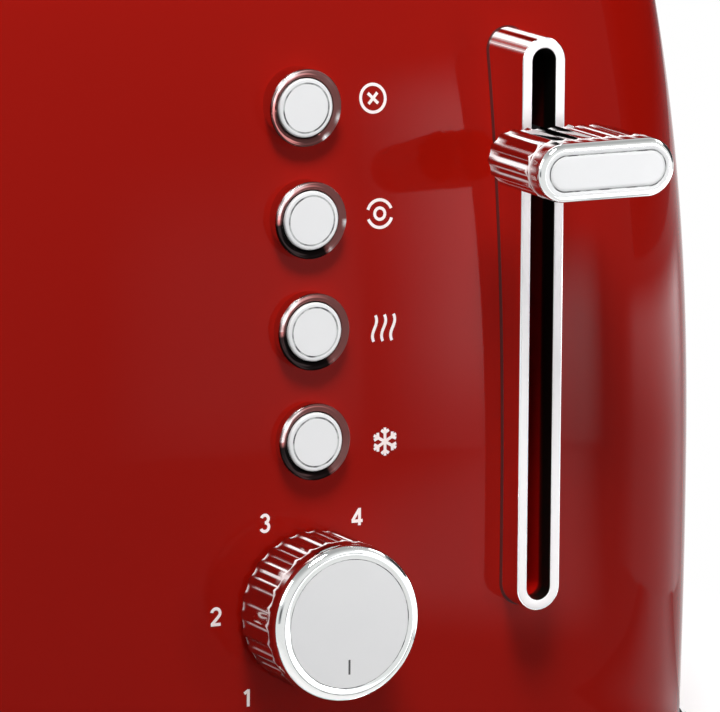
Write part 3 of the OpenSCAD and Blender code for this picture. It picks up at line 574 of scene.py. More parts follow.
# %% The shell piece
shell = new_piece("shell_skin", shell_points.reshape(-1, 3), shell_faces, [enamel], "toaster_body",
                  ["body_shell"], "red_paint", closed=False)
edge_of = np.empty(len(shell.data.loops), np.int32)
shell.data.loops.foreach_get("edge_index", edge_of)
hole_edge = np.bincount(edge_of, minlength=len(shell.data.edges)) == 1
shell.data.edges.foreach_set("use_edge_sharp", hole_edge)
print(int(hole_edge.sum()), "edges at holes and rims kept sharp, so that they don't bend the gloss")
SHEET = 1.0
wall = shell.modifiers.new("sheet", "SOLIDIFY")
wall.thickness, wall.offset = SHEET*MM, -1.0

# %% [markdown]
# The slot frame
#
# A tall chrome frame lines the slot in which the lever runs. It is a tube with a thick wall: its section
# is carried round a line with two half-circle ends. The front rim is lapped and looks white, the outer
# wall is a mirror with a few painted highlight streaks and a painted dark bar over its top, and the inner
# wall is a dark liner with painted red light low down. A thin lip of the liner lies round the frame's foot
# as a fine dark line on the panel, which is a painted shade line.


# %% A section carried round a slot
def half_circle_path(steps):
    """Angles and unit directions round a slot, and which end they belong to, from the right over the top."""
    turn = np.linspace(0, np.pi, steps)
    turn = np.concatenate([turn, turn + np.pi])
    return turn, np.cos(turn), np.sin(turn), np.repeat([1, -1], steps)


def rounded(corner, start, end, steps=5):
    """Points of a quarter round from start to end about a corner, as shares of sine and cosine."""
    turn = np.linspace(0, np.pi/2, steps)[:, None]
    corner, start, end = (np.array(p, float) for p in (corner, start, end))
    middle = start + end - corner
    return middle + (start - middle)*np.cos(turn) + (end - middle)*np.sin(turn)


def hill(way, middle, width):
    """A smooth hill of height one: the bell curve."""
    return np.exp(-((way - middle)/width)**2)


print("a quarter round has", len(rounded((1, 1), (1, 0), (0, 1))), "points")

# %% The slot frame's section and path
BEZEL_WALL, RIM_ROUND, LIP_ROUND, END_STEPS = 2.05, 0.3, 0.25, 49
face_y, rear_y = bezel_low[1], bezel_high[1]
outer, inner = BEZEL_HALF, BEZEL_HALF - BEZEL_WALL
inner_depths = [0.6, 3.0, 4.2, 4.6, 5.0, 7.0, 12.0, rear_y - face_y]
section = np.concatenate([
    [[outer, rear_y]],
    rounded((outer, face_y), (outer, face_y + RIM_ROUND), (outer - RIM_ROUND, face_y)),
    rounded((inner, face_y), (inner + LIP_ROUND, face_y), (inner, face_y + LIP_ROUND)),
    [[inner, face_y + depth] for depth in inner_depths]])
reach, depth = section[:, :1], section[:, 1:] - face_y
turn, dir_x, dir_z, end = half_circle_path(END_STEPS)
high_z, low_z = bezel_high[2] - BEZEL_HALF, bezel_low[2] + BEZEL_HALF
ends_z = np.where(end > 0, high_z, low_z)
rings = rings_of(LEVER_X + reach*dir_x, section[:, 1:], ends_z + reach*dir_z)
print("slot frame grid", rings.shape)

# %% The slot frame's painted streaks and its piece
# Each painted highlight streak has a strength, and an angle and a width in degrees.
PAINTED_STREAKS = [(1.5, 98, 10), (1.4, 131, 8), (0.8, 153, 3.5)]
PAINTED_RED_START, PAINTED_RED_SPAN = 4.1, 0.9
degrees, row = np.degrees(turn), np.arange(len(section))[:, None]
# On the outer wall's top end: painted highlight streaks, and one bar of painted dark reflection.
painted_streaks = sum(strength*hill(degrees, middle, width) for strength, middle, width in PAINTED_STREAKS)
painted_dark_bar = 1.6*hill(degrees, 116, 5)*(row > 0)
# Deep in the slot's lower end the liner gets painted red light.
inside = np.clip((depth - PAINTED_RED_START)/PAINTED_RED_SPAN, 0, 1)*np.where(end > 0, 0.0, 1.0)
polish = np.where(row < 5, painted_streaks - painted_dark_bar, inside)
# Rows 0 to 3 and the last are the outer wall and the rear face, rows 4 to 7 the rim, the rest the liner.
marks = face_marks(len(section), len(turn), [(0, [0, 1, 2, 3, len(section) - 1]), (1, range(4, 8))], 2)
stack_piece("slot_frame", rings, [frame_chrome, bright_rim, liner], "toaster_body", ["slot_bezel"], "chrome",
            looped=True, marks=marks, polish=np.clip(polish, -1, 1))

# %% A dark lip round the slot frame's foot, a painted shade line
SHADE_LINE_WIDE, SHADE_LINE_PROUD, SHADE_LINE_ROUND, SHADE_LINE_UNDER, SHADE_LINE_SUNK = 0.3, 0.12, 0.1, 0.1, 0.3
FLANK_STEPS, SHADE_LINE_RED = 60, 0.12
flank_z = np.linspace(high_z, low_z, FLANK_STEPS + 2)[1:-1]
straight, top, foot = np.ones(FLANK_STEPS), end > 0, end < 0
shade_line_x = np.concatenate([dir_x[top], -straight, dir_x[foot], straight])
shade_line_z = np.concatenate([dir_z[top], 0*straight, dir_z[foot], 0*straight])
core_z = np.concatenate([ends_z[top], flank_z, ends_z[foot], flank_z[::-1]])
section = np.concatenate([
    [[-SHADE_LINE_UNDER, -SHADE_LINE_SUNK], [-SHADE_LINE_UNDER, SHADE_LINE_PROUD]],
    rounded((SHADE_LINE_WIDE, SHADE_LINE_PROUD), (SHADE_LINE_WIDE - SHADE_LINE_ROUND, SHADE_LINE_PROUD),
            (SHADE_LINE_WIDE, SHADE_LINE_PROUD - SHADE_LINE_ROUND)),
    [[SHADE_LINE_WIDE, -SHADE_LINE_SUNK]]])
reach = outer + section[:, :1]
x, z = LEVER_X + reach*shade_line_x, core_z + reach*shade_line_z
points, faces = ring_stack(rings_of(x, panel_y(x, z) - section[:, 1:], z), looped=True)
# The lip is near black with a little red: painted shade where the frame meets the panel.
new_piece("frame_shade_line", points, faces, [liner], "toaster_body", slot="black_plastic",
          polish=np.full(len(points), SHADE_LINE_RED))

# %% [markdown]
# Buttons and their collars
#
# Each button is a turned part: a satin cap with one fine groove, on a stem that runs back to its switch.
# It sits in a collar with a dark cove and a bright lip. Both are profiles turned about the button's axis,
# so a profile is a short list of radius and depth, and the circle does the rest. The glints along the lip
# are painted highlights and the collar's shaded side is painted shade, both stored at each point.

# %% Turned pieces
ROUND = 72


def turned(profile, z, front, columns=ROUND):
    """Rings of a profile of radius and depth, turned about an axis along Y at a height."""
    turn = np.linspace(0, 2*np.pi, columns, endpoint=False)
    r, depth = profile[:, :1], profile[:, 1:]
    return rings_of(r*np.cos(turn), front + depth, z + r*np.sin(turn))


print("a button's ring has", ROUND, "points")

# %% Four collars
RING_R, RING_HOLE, RING_PROUD, PAINTED_SHADE_SHARE = 7.3, 5.7, (1.0, 0.8, 0.8, 0.8), (0.5, 1.0, 1.0, 1.0)
# Each painted glint has a strength, an angle, a turn from one button to the next and a width.
PAINTED_SHADE_TURN, PAINTED_GLINTS = 240, [(0.7, 160, 30, 7), (0.9, 308, -5, 7), (0.6, 330, 12, 6)]
cove = rounded((RING_HOLE, 0.05), (RING_R - 0.2, 0.05), (RING_HOLE, 0.65), 9)
lip = np.concatenate([[0.0], np.ones(7), [0.8, 0.4], np.zeros(7)])[:, None]
degrees = np.linspace(0, 360, ROUND, endpoint=False)
for i, (z, proud, painted_shade_share) in enumerate(zip(BUTTON_Z, RING_PROUD, PAINTED_SHADE_SHARE), 1):
    low, high = node_box("button_ring_%d" % i)
    length = high[1] - low[1] + proud
    profile = np.concatenate([[[RING_R, length], [RING_R, 0.5]],
                              rounded((RING_R, 0), (RING_R, 0.18), (RING_R - 0.12, 0.0)),
                              cove, [[RING_HOLE, length]]])
    # Painted shade darkens each collar's lower left, and painted glints light its lip elsewhere.
    shade = painted_shade_share*np.clip((np.cos(np.radians(degrees - PAINTED_SHADE_TURN)) - 0.45)/0.12, 0, 1)
    painted_glint = hill(degrees, 128 + 5*i, 24)*(0.65 + 0.35*np.sin(np.radians(13*degrees + 80*i)))
    painted_glint += sum(strength*hill(degrees, start + step*i, width) for strength, start, step, width in PAINTED_GLINTS)
    stack_piece("button_collar_%d" % i, turned(profile, z, low[1] - proud), [chrome, smoked], "toaster_body",
                ["button_ring_%d" % i], "chrome", looped=True,
                marks=face_marks(len(profile), ROUND, [(0, [0])], 1),
                polish=np.clip(lip*painted_glint*(1 - shade) - shade, -1, 1))

# %% Four caps
CAP_R, GROOVE_R, STEM_R, STOP_R, TIP_R = 5.55, 4.65, 3.0, 4.0, 1.5
CARRIER_SHEET, STOP_FRONT, STOP_BACK = 3.0, 0.4, 1.2
carrier_back = node_box("control_carrier")[0][1] + CARRIER_SHEET
for i, z in enumerate(BUTTON_Z, 1):
    low, high = node_box("button_%d" % i)
    stop_front, stop_back = carrier_back - low[1] + STOP_FRONT, carrier_back - low[1] + STOP_BACK
    profile = np.concatenate([
        [[1.0, 0], [GROOVE_R - 0.16, 0], [GROOVE_R - 0.12, 0.06]],
        [[GROOVE_R + 0.12, 0.06], [GROOVE_R + 0.16, 0]],
        rounded((CAP_R, 0), (CAP_R - 0.35, 0), (CAP_R, 0.35)),
        [[CAP_R, 0.8], [CAP_R, 3.3], [CAP_R - 0.2, 3.5], [STEM_R, 3.5], [STEM_R, stop_front],
         [STOP_R, stop_front], [STOP_R, stop_back], [TIP_R, stop_back], [TIP_R, high[1] - low[1]]]])
    # Rows 1 to 3 are the groove, the other rows up to 9 the face and its edge, the rest the side and stem.
    stack_piece("button_cap_%d" % i, turned(profile, z, low[1]), [satin, groove, smoked],
                "button_body_%d" % i, ["button_%d" % i], "chrome",
                marks=face_marks(len(profile) - 1, ROUND, [(1, [1, 2, 3]), (0, range(10))], 2, (0, 2)))

# %% [markdown]
# The browning dial
#
# The knob is turned too, but its skirt is fluted for grip. A flute is a dip in the radius that repeats
# round the circle; the sharp crest between two flutes comes from the absolute value of a cosine. Near
# the smooth band the dip runs out like the end of a milling cut, which gives the scalloped edge.

# %% The knob's profile
knob_low, knob_high = node_box("knob")
KNOB_R, KNOB_FRONT, KNOB_DEPTH = 15.0, knob_low[1], knob_high[1] - knob_low[1]
FLUTES, FLUTE_STEPS, FLUTE_DEEP, FLUTE_START, RUN_OUT = 27, 18, 0.45, 3.9, 1.4
skirt = [2.8, 3.4, *np.linspace(3.9, 5.4, 9), 7.0, 9.5, 12.0, 14.5, KNOB_DEPTH - 0.35]
knob_profile = np.concatenate([
    [[8.0, 0.1], [12.1, 0.1], [12.27, 0.1], [12.29, 0.03], [12.33, 0.0]],
    [[13.38, 0.0], [13.4, 0.05], [13.48, 0.05]],
    rounded((KNOB_R, 0), (13.5, 0.0), (KNOB_R, 2.1), 9),
    [[KNOB_R, depth] for depth in skirt],
    [[KNOB_R - 0.4, KNOB_DEPTH], [5.0, KNOB_DEPTH]]])
print("knob profile of", len(knob_profile), "points")


# %% Flutes round the knob
def flute_dip(turn, depth, count, deep, start):
    """How far a flute goes in: the crest-and-dip wave round the circle, less what the cutter's round end
    leaves standing just behind the smooth band."""
    wave = np.abs(np.cos(count*turn/2))
    run_out = (1 - np.clip((depth - start)/RUN_OUT, 0, 1))**2
    return deep*np.clip(wave - run_out, 0, None)*(depth >= start)


turn = np.linspace(0, 2*np.pi, FLUTES*FLUTE_STEPS, endpoint=False)
r, depth = knob_profile[:, :1], knob_profile[:, 1:]
on_skirt = r > KNOB_R - 0.5
r = r - flute_dip(turn[None], depth, FLUTES, FLUTE_DEEP, FLUTE_START)*(r > KNOB_R - 1)
rings = rings_of(r*np.cos(turn), KNOB_FRONT + depth, KNOB_Z + r*np.sin(turn))
print("knob grid", rings.shape)


# %% Painted highlights on the flutes
def painted_flute_streaks(flute, depth, start, stop, wide):
    """Painted highlights along the flutes: a hill on each flank of a flute, of a strength that changes from
    flute to flute, the scalloped line where the flutes run out, and a dash at each crest's far end."""
    across, number = flute % 1.0, np.floor(flute)
    first = np.clip(0.75 + 0.4*np.sin(2.4*number), 0, 1)*hill(across, 0.27, wide)
    second = np.clip(0.3 + 0.7*np.sin(5.1*number + 1), 0, 1)*hill(across, 0.74, 0.07)
    painted_bright = (first + second)*np.clip((depth - start - 0.4)/0.8, 0, 1)*np.clip((stop - 1.2 - depth)/1.5, 0, 1)
    run_out = start + 0.15 + 0.55*(1 - np.abs(np.sin(np.pi*flute)))
    painted_dash = hill(depth, stop - 0.4, 0.5)*hill(across, 0.5, 0.24)
    return np.clip((painted_bright + 1.5*hill(depth, run_out, 0.42) + 1.0*painted_dash - 0.22)/0.42, 0, 1)


PAINTED_GLINT_TURN, PAINTED_LIT_TURN = 141, 115
# Streaks and the band's glint are painted highlights; the lit share, highest at the upper left, is painted
# light.
flute = (FLUTES*turn/(2*np.pi) + 0.5)[None]
painted_streaks = painted_flute_streaks(flute, depth, FLUTE_START, KNOB_DEPTH, 0.08)*(depth > FLUTE_START - 0.6)
painted_glint = 0.8*hill(np.degrees(turn), PAINTED_GLINT_TURN, 4)*((depth > 2.0) & (depth < FLUTE_START + 2))
painted_lit = np.clip(0.6 + 0.6*np.cos(turn - np.radians(PAINTED_LIT_TURN)), 0, 1)
# Where the lit share is low the skirt gets painted shade.
polish = (np.maximum(painted_streaks, painted_glint)*painted_lit - 0.9*np.clip(0.35 - painted_lit, 0, 1)/0.35)*on_skirt
# Rows 1 to 3, 5 and 6 are grooves, the other rows up to 15 the ring and the rounded front, the rest the
# skirt.
marks = face_marks(len(knob_profile) - 1, len(turn), [(1, [1, 2, 3, 5, 6]), (0, range(16))], 2, (0, 0))
stack_piece("dial_knob", rings, [chrome, groove, painted_shine], "dial", ["knob"], "chrome",
            marks=marks, polish=polish)

# %% The dial's face and pointer
DISC_R, DISC_SUNK, DISC_STEPS = 12.18, 0.02, 120
POINTER_DOWN, POINTER_PROUD, POINTER_SUNK = 8.2, 0.015, 0.2
disc_profile = np.concatenate([
    [[1.0, DISC_SUNK], [8.0, DISC_SUNK]],
    rounded((DISC_R, DISC_SUNK), (DISC_R - 0.06, DISC_SUNK), (DISC_R, 0.08)), [[DISC_R, 1.2]]])
stack_piece("dial_face", turned(disc_profile, KNOB_Z, KNOB_FRONT, DISC_STEPS), [satin], "dial",
            ["knob_disc"], "satin_chrome")
stick = np.array([[-0.2, -1.4], [0.2, -1.4], [0.2, 1.4], [-0.2, 1.4]])
rings = rings_of(stick[:, 0], KNOB_FRONT + np.array([[-POINTER_PROUD], [POINTER_SUNK]]),
                 KNOB_Z - POINTER_DOWN + stick[:, 1])
new_piece("dial_pointer", *ring_stack(rings), [dark_line], "dial", slot="black_plastic")

# %% [markdown]
# The lever's grip
#
# The grip is a bar with round ends, fluted like the knob, with a rounded rim and a fine line on its face.
# Its outline is walked at an even pace, along the top, round the end, back below and round the other
# end, so that the flutes keep their spacing on the straights and on the bends alike.

# %% The grip's outline
grip_low, grip_high = node_box("lever_handle")
GRIP_SHORT, GRIP_FLUTES, GRIP_STEPS, GRIP_START = 0.5, 24, 16, 4.9
GRIP_R = (grip_high[2] - grip_low[2])/2
GRIP_CORE = (grip_high[0] - grip_low[0])/2 - GRIP_R - GRIP_SHORT
GRIP_X = (grip_low[0] + grip_high[0])/2 + GRIP_SHORT
GRIP_Z, GRIP_FRONT = (grip_low[2] + grip_high[2])/2, grip_low[1]
GRIP_DEPTH = grip_high[1] - grip_low[1]


def stadium_walk(columns):
    """Core point and outward direction at even steps round a bar with round ends: two straights of the
    core's length and two half circles of the grip's radius."""
    straight, bend = 2*GRIP_CORE, np.pi*GRIP_R
    way = np.linspace(0, 2*(straight + bend), columns, endpoint=False)
    half = way % (straight + bend)
    side = np.where(way < straight + bend, 1.0, -1.0)
    on_bend = half > straight
    angle = np.where(on_bend, np.pi/2 - (half - straight)/GRIP_R, np.pi/2)
    core = np.where(on_bend, GRIP_CORE, half - GRIP_CORE)
    return side*core, side*np.cos(angle), side*np.sin(angle), way/(2*(straight + bend))


core_x, out_x, out_z, share = stadium_walk(GRIP_FLUTES*GRIP_STEPS)
print("grip outline of", len(share), "points")

# %% The grip's profile and flutes
rear = [4.62, 4.8, *np.linspace(5.0, 6.4, 8), 9.0, 13.0, 17.0, GRIP_DEPTH - 0.4]
grip_profile = np.concatenate([
    [[2.6, 0], [3.2, 0], [3.24, 0.03], [3.26, 0.07], [3.46, 0.07], [3.48, 0.03], [3.54, 0], [4.1, 0]],
    rounded((GRIP_R, 0), (4.3, 0.0), (GRIP_R, 1.2), 8),
    [[GRIP_R, depth] for depth in (2.2, 3.2, 4.1, 4.3)],
    [[GRIP_R - 0.25, 4.32], [GRIP_R - 0.25, 4.6]],
    [[GRIP_R, depth] for depth in rear],
    [[GRIP_R - 0.5, GRIP_DEPTH], [3.4, GRIP_DEPTH]]])
reach, depth = grip_profile[:, :1], grip_profile[:, 1:]
dip = flute_dip(2*np.pi*share[None] + np.pi/GRIP_FLUTES, depth, GRIP_FLUTES, FLUTE_DEEP, GRIP_START)
offset = reach - dip*(reach > 4.5)
rings = rings_of(GRIP_X + core_x + offset*out_x, GRIP_FRONT + depth, GRIP_Z + offset*out_z)
print("grip grid", rings.shape)

# %% The grip's painted streaks and its piece
flute = (GRIP_FLUTES*share + 1.0)[None]
# The upper side gets wider, stronger painted highlights, and the face's blocks and line are painted
# highlights too.
upper = np.clip(0.5 + out_z, 0, 1)[None]
painted_streaks = painted_flute_streaks(flute, depth, GRIP_START, GRIP_DEPTH, 0.08 + 0.14*upper)
painted_blocks = hill(flute % 1.0, 0.3, 0.2)*(0.35 + 0.5*upper)*hill(depth, 3.0, 1.2)
polish = np.where(depth < 4.8, np.clip(painted_blocks + 1.3*hill(depth, 4.4, 0.3), 0, 1), painted_streaks)
# Rows 2 to 4 are the fine line, the other rows up to 7 the face, rows 8 to 13 the rim, the rest the side.
picks = [(2, [2, 3, 4]), (1, range(8)), (0, range(14))]
marks = face_marks(len(grip_profile) - 1, len(share), picks, 3, (1, 3))
stack_piece("lever_grip", rings, [chrome, satin, groove, painted_shine], "carriage", ["lever_handle"], "chrome",
            marks=marks, polish=polish)

# %% [markdown]
# Top frame, base band and tray pull
#
# A chrome frame with two rimmed bread slots closes the top, a flared chrome band finishes the foot, and a
# bar at the back pulls out the crumb tray. The frame's edges are sections carried round rectangles with
# round corners; the flat sheet between them is filled by triangles with two holes.


# %% Round rectangles
def round_rect_walk(half_x, half_y, corner, steps):
    """Corner middles and outward directions round a rectangle with round corners."""
    turn = (np.linspace(0, np.pi/2, steps)[None, :] + np.arange(4)[:, None]*np.pi/2).ravel()
    sign_x, sign_y = np.repeat([1, -1, -1, 1], steps), np.repeat([1, 1, -1, -1], steps)
    return sign_x*(half_x - corner), sign_y*(half_y - corner), np.cos(turn), np.sin(turn)


def carried(section, walk, corner, middle_x=0.0):
    """Rings of a section of outward offset and height, carried round a round rectangle."""
    core_x, core_y, out_x, out_y = walk
    reach = corner + section[:, :1]
    return rings_of(middle_x + core_x + reach*out_x, core_y + reach*out_y, section[:, 1:])


FRAME_THICK = 2.2
frame_top = TOP_Z + FRAME_THICK
edge = np.concatenate([
    [[-3.0, TOP_Z], [0.0, TOP_Z]],
    rounded((0, frame_top), (0, frame_top - 1.0), (-1.0, frame_top), 7), [[-2.0, frame_top]]])
edge_rings = carried(edge, round_rect_walk(FRAME_X, FRAME_Y, FRAME_CORNER, 15), FRAME_CORNER)
print("frame edge", edge_rings.shape)

# %% The top frame
SLOT_X, SLOT_HALF, SLOT_LONG, SLOT_CORNER, RIM_WALL = 26.0, 17.0, 76.0, 7.0, 1.3
rim_top, rim_low = frame_high[2], frame_low[2]
rim = np.concatenate([
    [[2.4, frame_top]],
    rounded((RIM_WALL, frame_top), (2.2, frame_top), (RIM_WALL, frame_top + 0.5)),
    rounded((RIM_WALL, rim_top), (RIM_WALL, rim_top - 0.55), (RIM_WALL/2, rim_top)),
    rounded((0, rim_top), (RIM_WALL/2, rim_top), (0, rim_top - 0.55)),
    [[0, rim_low], [RIM_WALL, rim_low], [RIM_WALL, TOP_Z]]])
walk = round_rect_walk(SLOT_HALF, SLOT_LONG, SLOT_CORNER, 9)
rims = [carried(rim, walk, SLOT_CORNER, side*SLOT_X) for side in (-1, 1)]


def flat_fill(loops, start):
    """Triangles between an outer loop and its holes; start gives each loop's first point number."""
    numbers = np.concatenate([first + np.arange(len(loop)) for loop, first in zip(loops, start)])
    flat = [[Vector(point) for point in loop] for loop in loops]
    return numbers[np.array(geometry.tessellate_polygon(flat))].tolist()


parts = [edge_rings, *rims]
starts = np.cumsum([0] + [part[..., 0].size for part in parts])
points = np.concatenate([part.reshape(-1, 3) for part in parts])
faces = sum([(ring_quads(*part.shape[:2]) + first).tolist() for part, first in zip(parts, starts)], [])
ends = [(part.shape[0] - 1)*part.shape[1] for part in parts]
faces += flat_fill([edge_rings[-1], rims[0][0], rims[1][0]], [ends[0], starts[1], starts[2]])
faces += flat_fill([edge_rings[0], rims[0][-1], rims[1][-1]], [0, starts[1] + ends[1], starts[2] + ends[2]])
even_shading(new_piece("top_plate", points, faces, [chrome], "toaster_body", ["top_frame"], "chrome"))

# %% The base band
BAND_STEPS, BAND_IN, BAND_LIP, BAND_THIN = 240, 6.0, 1.2, 0.3
trim_low, trim_high = node_box("base_trim")
foot_x, foot_y = half_sizes(FOOT_Z)
low_z, high_z, flare = trim_low[2], trim_high[2], trim_high[0] - foot_x
climb = np.linspace(0, 1, 12)
section = np.concatenate([
    [[-BAND_IN, low_z], [flare - BAND_LIP, low_z]],
    rounded((flare, low_z), (flare - 0.9, low_z), (flare, low_z + 0.9), 6),
    np.stack([BAND_THIN + (flare - BAND_THIN)*(1 - climb**1.5),
              low_z + BAND_LIP + (high_z - low_z - BAND_LIP)*climb], -1),
    [[-BAND_IN, high_z]]])
turn = np.linspace(0, 2*np.pi, BAND_STEPS, endpoint=False)
reach = plan_radius(turn[None], foot_x + section[:, :1], foot_y + section[:, :1])
stack_piece("base_band", rings_of(reach*np.cos(turn), reach*np.sin(turn), section[:, 1:]), [chrome],
            "toaster_body", ["base_trim"], "chrome", looped=True)

# %% The tray's pull
pull_low, pull_high = node_box("tray_handle")
PULL_END, PULL_TAPER, PULL_CORNER = 2.5, 0.8, 1.6
bow = np.linspace(0, np.pi/2, 7)
end_x = pull_high[0] - PULL_END*(1 - np.sin(bow))
shrink = PULL_END*(1 - np.cos(bow))
stations = np.concatenate([-end_x[::-1], end_x])[:, None]
shrinks = np.concatenate([shrink[::-1], shrink])[:, None]
half_y, half_z = (pull_high[1:] - pull_low[1:])/2
core_y, core_z, out_y, out_z = round_rect_walk(half_y, half_z, PULL_CORNER, 7)
reach_y = (core_y + PULL_CORNER*out_y)/half_y
reach_z = (core_z + PULL_CORNER*out_z)/half_z
size_y, size_z = half_y - PULL_TAPER*shrinks, half_z - PULL_TAPER*shrinks
rings = rings_of(stations, (pull_low[1] + half_y) + size_y*reach_y, (pull_low[2] + half_z) + size_z*reach_z)
stack_piece("tray_pull", rings, [chrome], "tray", ["tray_handle"], "chrome")

# %% [markdown]
# The lift spring
#
# The spring hangs between the rod bracket and the carriage, and gets longer as the lever goes down. Here it
# is one coil that rides on no body. Its turns are spaced for a soft-step stretch over the lever's travel,
# which would crowd the middle turns with the lever lifted, so they are set where that stretch leaves them
# even.

# %% A coil spaced for the lever's travel
spring_low, spring_high = node_box("lift_spring")
WIRE_R, WIRE_STEPS, CURLS, CURL_STEPS = 0.5, 8, 12, 24
joints = {joint["name"]: joint for joint in frame["record"]["behaviour"]["joints"]}
lift = joints["lever_slide"]["range_m"][1]/MM
tall = spring_high[2] - spring_low[2] - 2*WIRE_R
way = np.linspace(0, 1, 400)
pressed = tall*way - lift*way*way*(3 - 2*way)
rise = np.interp(np.linspace(0, 1, CURL_STEPS*CURLS + 1), pressed/pressed[-1], way)[:, None]
turn = np.linspace(0, 2*np.pi*CURLS, len(rise))[:, None]
wire = np.linspace(0, 2*np.pi, WIRE_STEPS, endpoint=False)[None, :]
middle = (spring_low + spring_high)/2
reach = spring_high[0] - middle[0] - WIRE_R + WIRE_R*np.cos(wire)
rings = rings_of(middle[0] + reach*np.cos(turn), middle[1] + reach*np.sin(turn),
                 spring_low[2] + WIRE_R + tall*rise + WIRE_R*np.sin(wire))
spring = new_piece("coil_spring", *ring_stack(rings), [sheet], None, ["lift_spring"], "sheet_steel")
ends = [(np.array([middle[0], middle[1], z]) + MIDDLE)*MM for z in (spring_high[2], spring_low[2])]
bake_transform(spring)
print("spring %.1f mm at rest, %.1f mm with the lever lifted" % (tall, pressed[-1]))

# %% [markdown]
# Print on the panel
#
# The dial has plain numbers, and beside each button stands a simple sign: a crossed ring to stop, a split
# ring for rolls, three waves to warm up and a snow star to thaw. A sign is a set of strokes, each a line
# with a width; the numbers are drawn the same way. Every point is laid on the panel's curve.


# %% Strokes and signs
def stroke(line, width):
    """Points and quads of a line with a width: the line moved to both sides of its direction."""
    line = np.asarray(line, float)
    along = np.gradient(line, axis=0)
    side = np.stack([-along[:, 1], along[:, 0]], -1)/np.linalg.norm(along, axis=1, keepdims=True)
    points = np.concatenate([line + side*width/2, line - side*width/2])
    n, i = len(line), np.arange(len(line) - 1)
    return points, np.stack([i, i + n, i + n + 1, i + 1], -1)


def arc(radius, start, stop, steps=41):
    """A part of a circle about the sign's middle, angles in degrees."""
    turn = np.radians(np.linspace(start, stop, steps))
    return radius*np.stack([np.cos(turn), np.sin(turn)], -1)


def bar(length, angle, start=0.0):
    """A straight line from a distance to another, out from the sign's middle."""
    way = np.linspace(start, length, 6)[:, None]
    return way*np.array([math.cos(math.radians(angle)), math.sin(math.radians(angle))])


wave = np.linspace(-1, 1, 31)
signs = [
    [arc(2.3, 0, 360), bar(1.25, 45, -1.25), bar(1.25, 135, -1.25)],
    [arc(2.3, 20, 160), arc(2.3, 200, 340), arc(0.95, 0, 360)],
    [np.stack([k + 0.42*np.sin(2.6*wave), 2.2*wave], -1) for k in (-1.7, 0.0, 1.7)],
    [bar(2.4, 60*k + 30, 0.0) for k in range(6)]
    + [bar(1.5, 60*k + 30, 1.5) + bar(0.85, 60*k + 30 + s*55) for k in range(6) for s in (-1, 1)]]
print([len(sign) for sign in signs], "strokes")


# %% Lay the print on the panel
def on_panel(flat):
    """Points across, up and out, laid on the panel's curve."""
    return np.stack([flat[:, 0], panel_y(flat[:, 0], flat[:, 1]) - flat[:, 2], flat[:, 1]], -1)


def gather(flats):
    """Joins patches of points and faces into one, moving the face numbers on."""
    starts = np.cumsum([0] + [len(points) for points, _ in flats])
    points = np.concatenate([points for points, _ in flats])
    moved_on = [(np.array(faces) + first).tolist() for (_, faces), first in zip(flats, starts)]
    return points, sum(moved_on, [])


FILM, LIFT, HAIR = 0.03, 0.03, 0.004


def printed(name, drawings, places, scale, width):
    """A piece with the strokes of each drawing at its place, every stroke a hair further out than the one
    before, so that crossings don't flicker, and all with the thickness of a film of ink."""
    patches = []
    for drawing, place in zip(drawings, places):
        for k, line in enumerate(drawing):
            points, quads = stroke(scale*line, width)
            out = np.full(len(points), LIFT + HAIR*k)
            patches.append((np.column_stack([points + place, out]), quads))
    points, faces = gather(patches)
    piece = new_piece(name, on_panel(points), faces, [ink], "toaster_body", closed=False)
    film = piece.modifiers.new("film", "SOLIDIFY")
    film.thickness, film.offset = FILM*MM, 1.0
    piece.data.shade_flat()


SIGN_X, SIGN_Z, SIGN_SCALE, SIGN_LINE = 15.6, (140.6, 119.2, 97.8, 76.2), 1.12, 0.58
printed("button_signs", signs, [(SIGN_X, z) for z in SIGN_Z], SIGN_SCALE, SIGN_LINE)

# %% Numbers round the dial
NUMBER_TALL, NUMBER_LINE = 3.3, 0.18
NUMBERS = [(-13.0, 29.6), (-19.6, 45.8), (-9.5, 62.9), (9.8, 62.3), (19.6, 46.0), (12.6, 30.6)]


def segment(start, stop):
    """A straight line between two places."""
    return np.linspace(start, stop, 4)


def moved(line, x, y):
    """A line carried across and up."""
    return line + np.array([x, y])


figures = [
    [segment((0.08, -0.5), (0.08, 0.5)), segment((0.1, 0.46), (-0.18, 0.27))],
    [np.concatenate([moved(arc(0.26, 170, -42), 0, 0.23), segment((0.1, -0.05), (-0.27, -0.43))]),
     segment((-0.31, -0.43), (0.3, -0.43))],
    [moved(arc(0.22, 160, -90), -0.01, 0.22), moved(arc(0.25, 90, -160), -0.01, -0.25)],
    [segment((0.14, -0.5), (0.14, 0.5)), segment((0.14, 0.46), (-0.3, -0.2)),
     segment((-0.36, -0.24), (0.34, -0.24))],
    [segment((-0.22, 0.43), (0.27, 0.43)), segment((-0.18, 0.46), (-0.22, 0.0)),
     moved(arc(0.27, 140, -150), -0.02, -0.17)],
    [moved(arc(0.26, 0, 360), 0, -0.24), moved(arc(0.66, 178, 112), 0.4, -0.2)]]
printed("dial_numbers", figures, NUMBERS, NUMBER_TALL, NUMBER_LINE*NUMBER_TALL)

# %% [markdown]
# Finishes for the CAD pieces
#
# The works inside keep their CAD shapes: bent sheet, wires, cards and moulded blocks look right as they
# are. They take their finish by the material slot that the record gives each node.

# %% Dress the CAD nodes
SLOT_FINISH = {"red_paint": enamel, "chrome": chrome, "satin_chrome": satin, "sheet_steel": sheet,
               "black_plastic": plastic, "rubber": rubber, "mica": mica, "board": board, "ribbon": ribbon}
node_slots = {part["node"]: part["material_slot"] for part in frame["record"]["subparts"]}
for node, piece in frame["nodes"].items():
    piece.data.materials.clear()
    piece.data.materials.append(SLOT_FINISH[node_slots[node]].material)
print(len(node_slots), "nodes dressed")

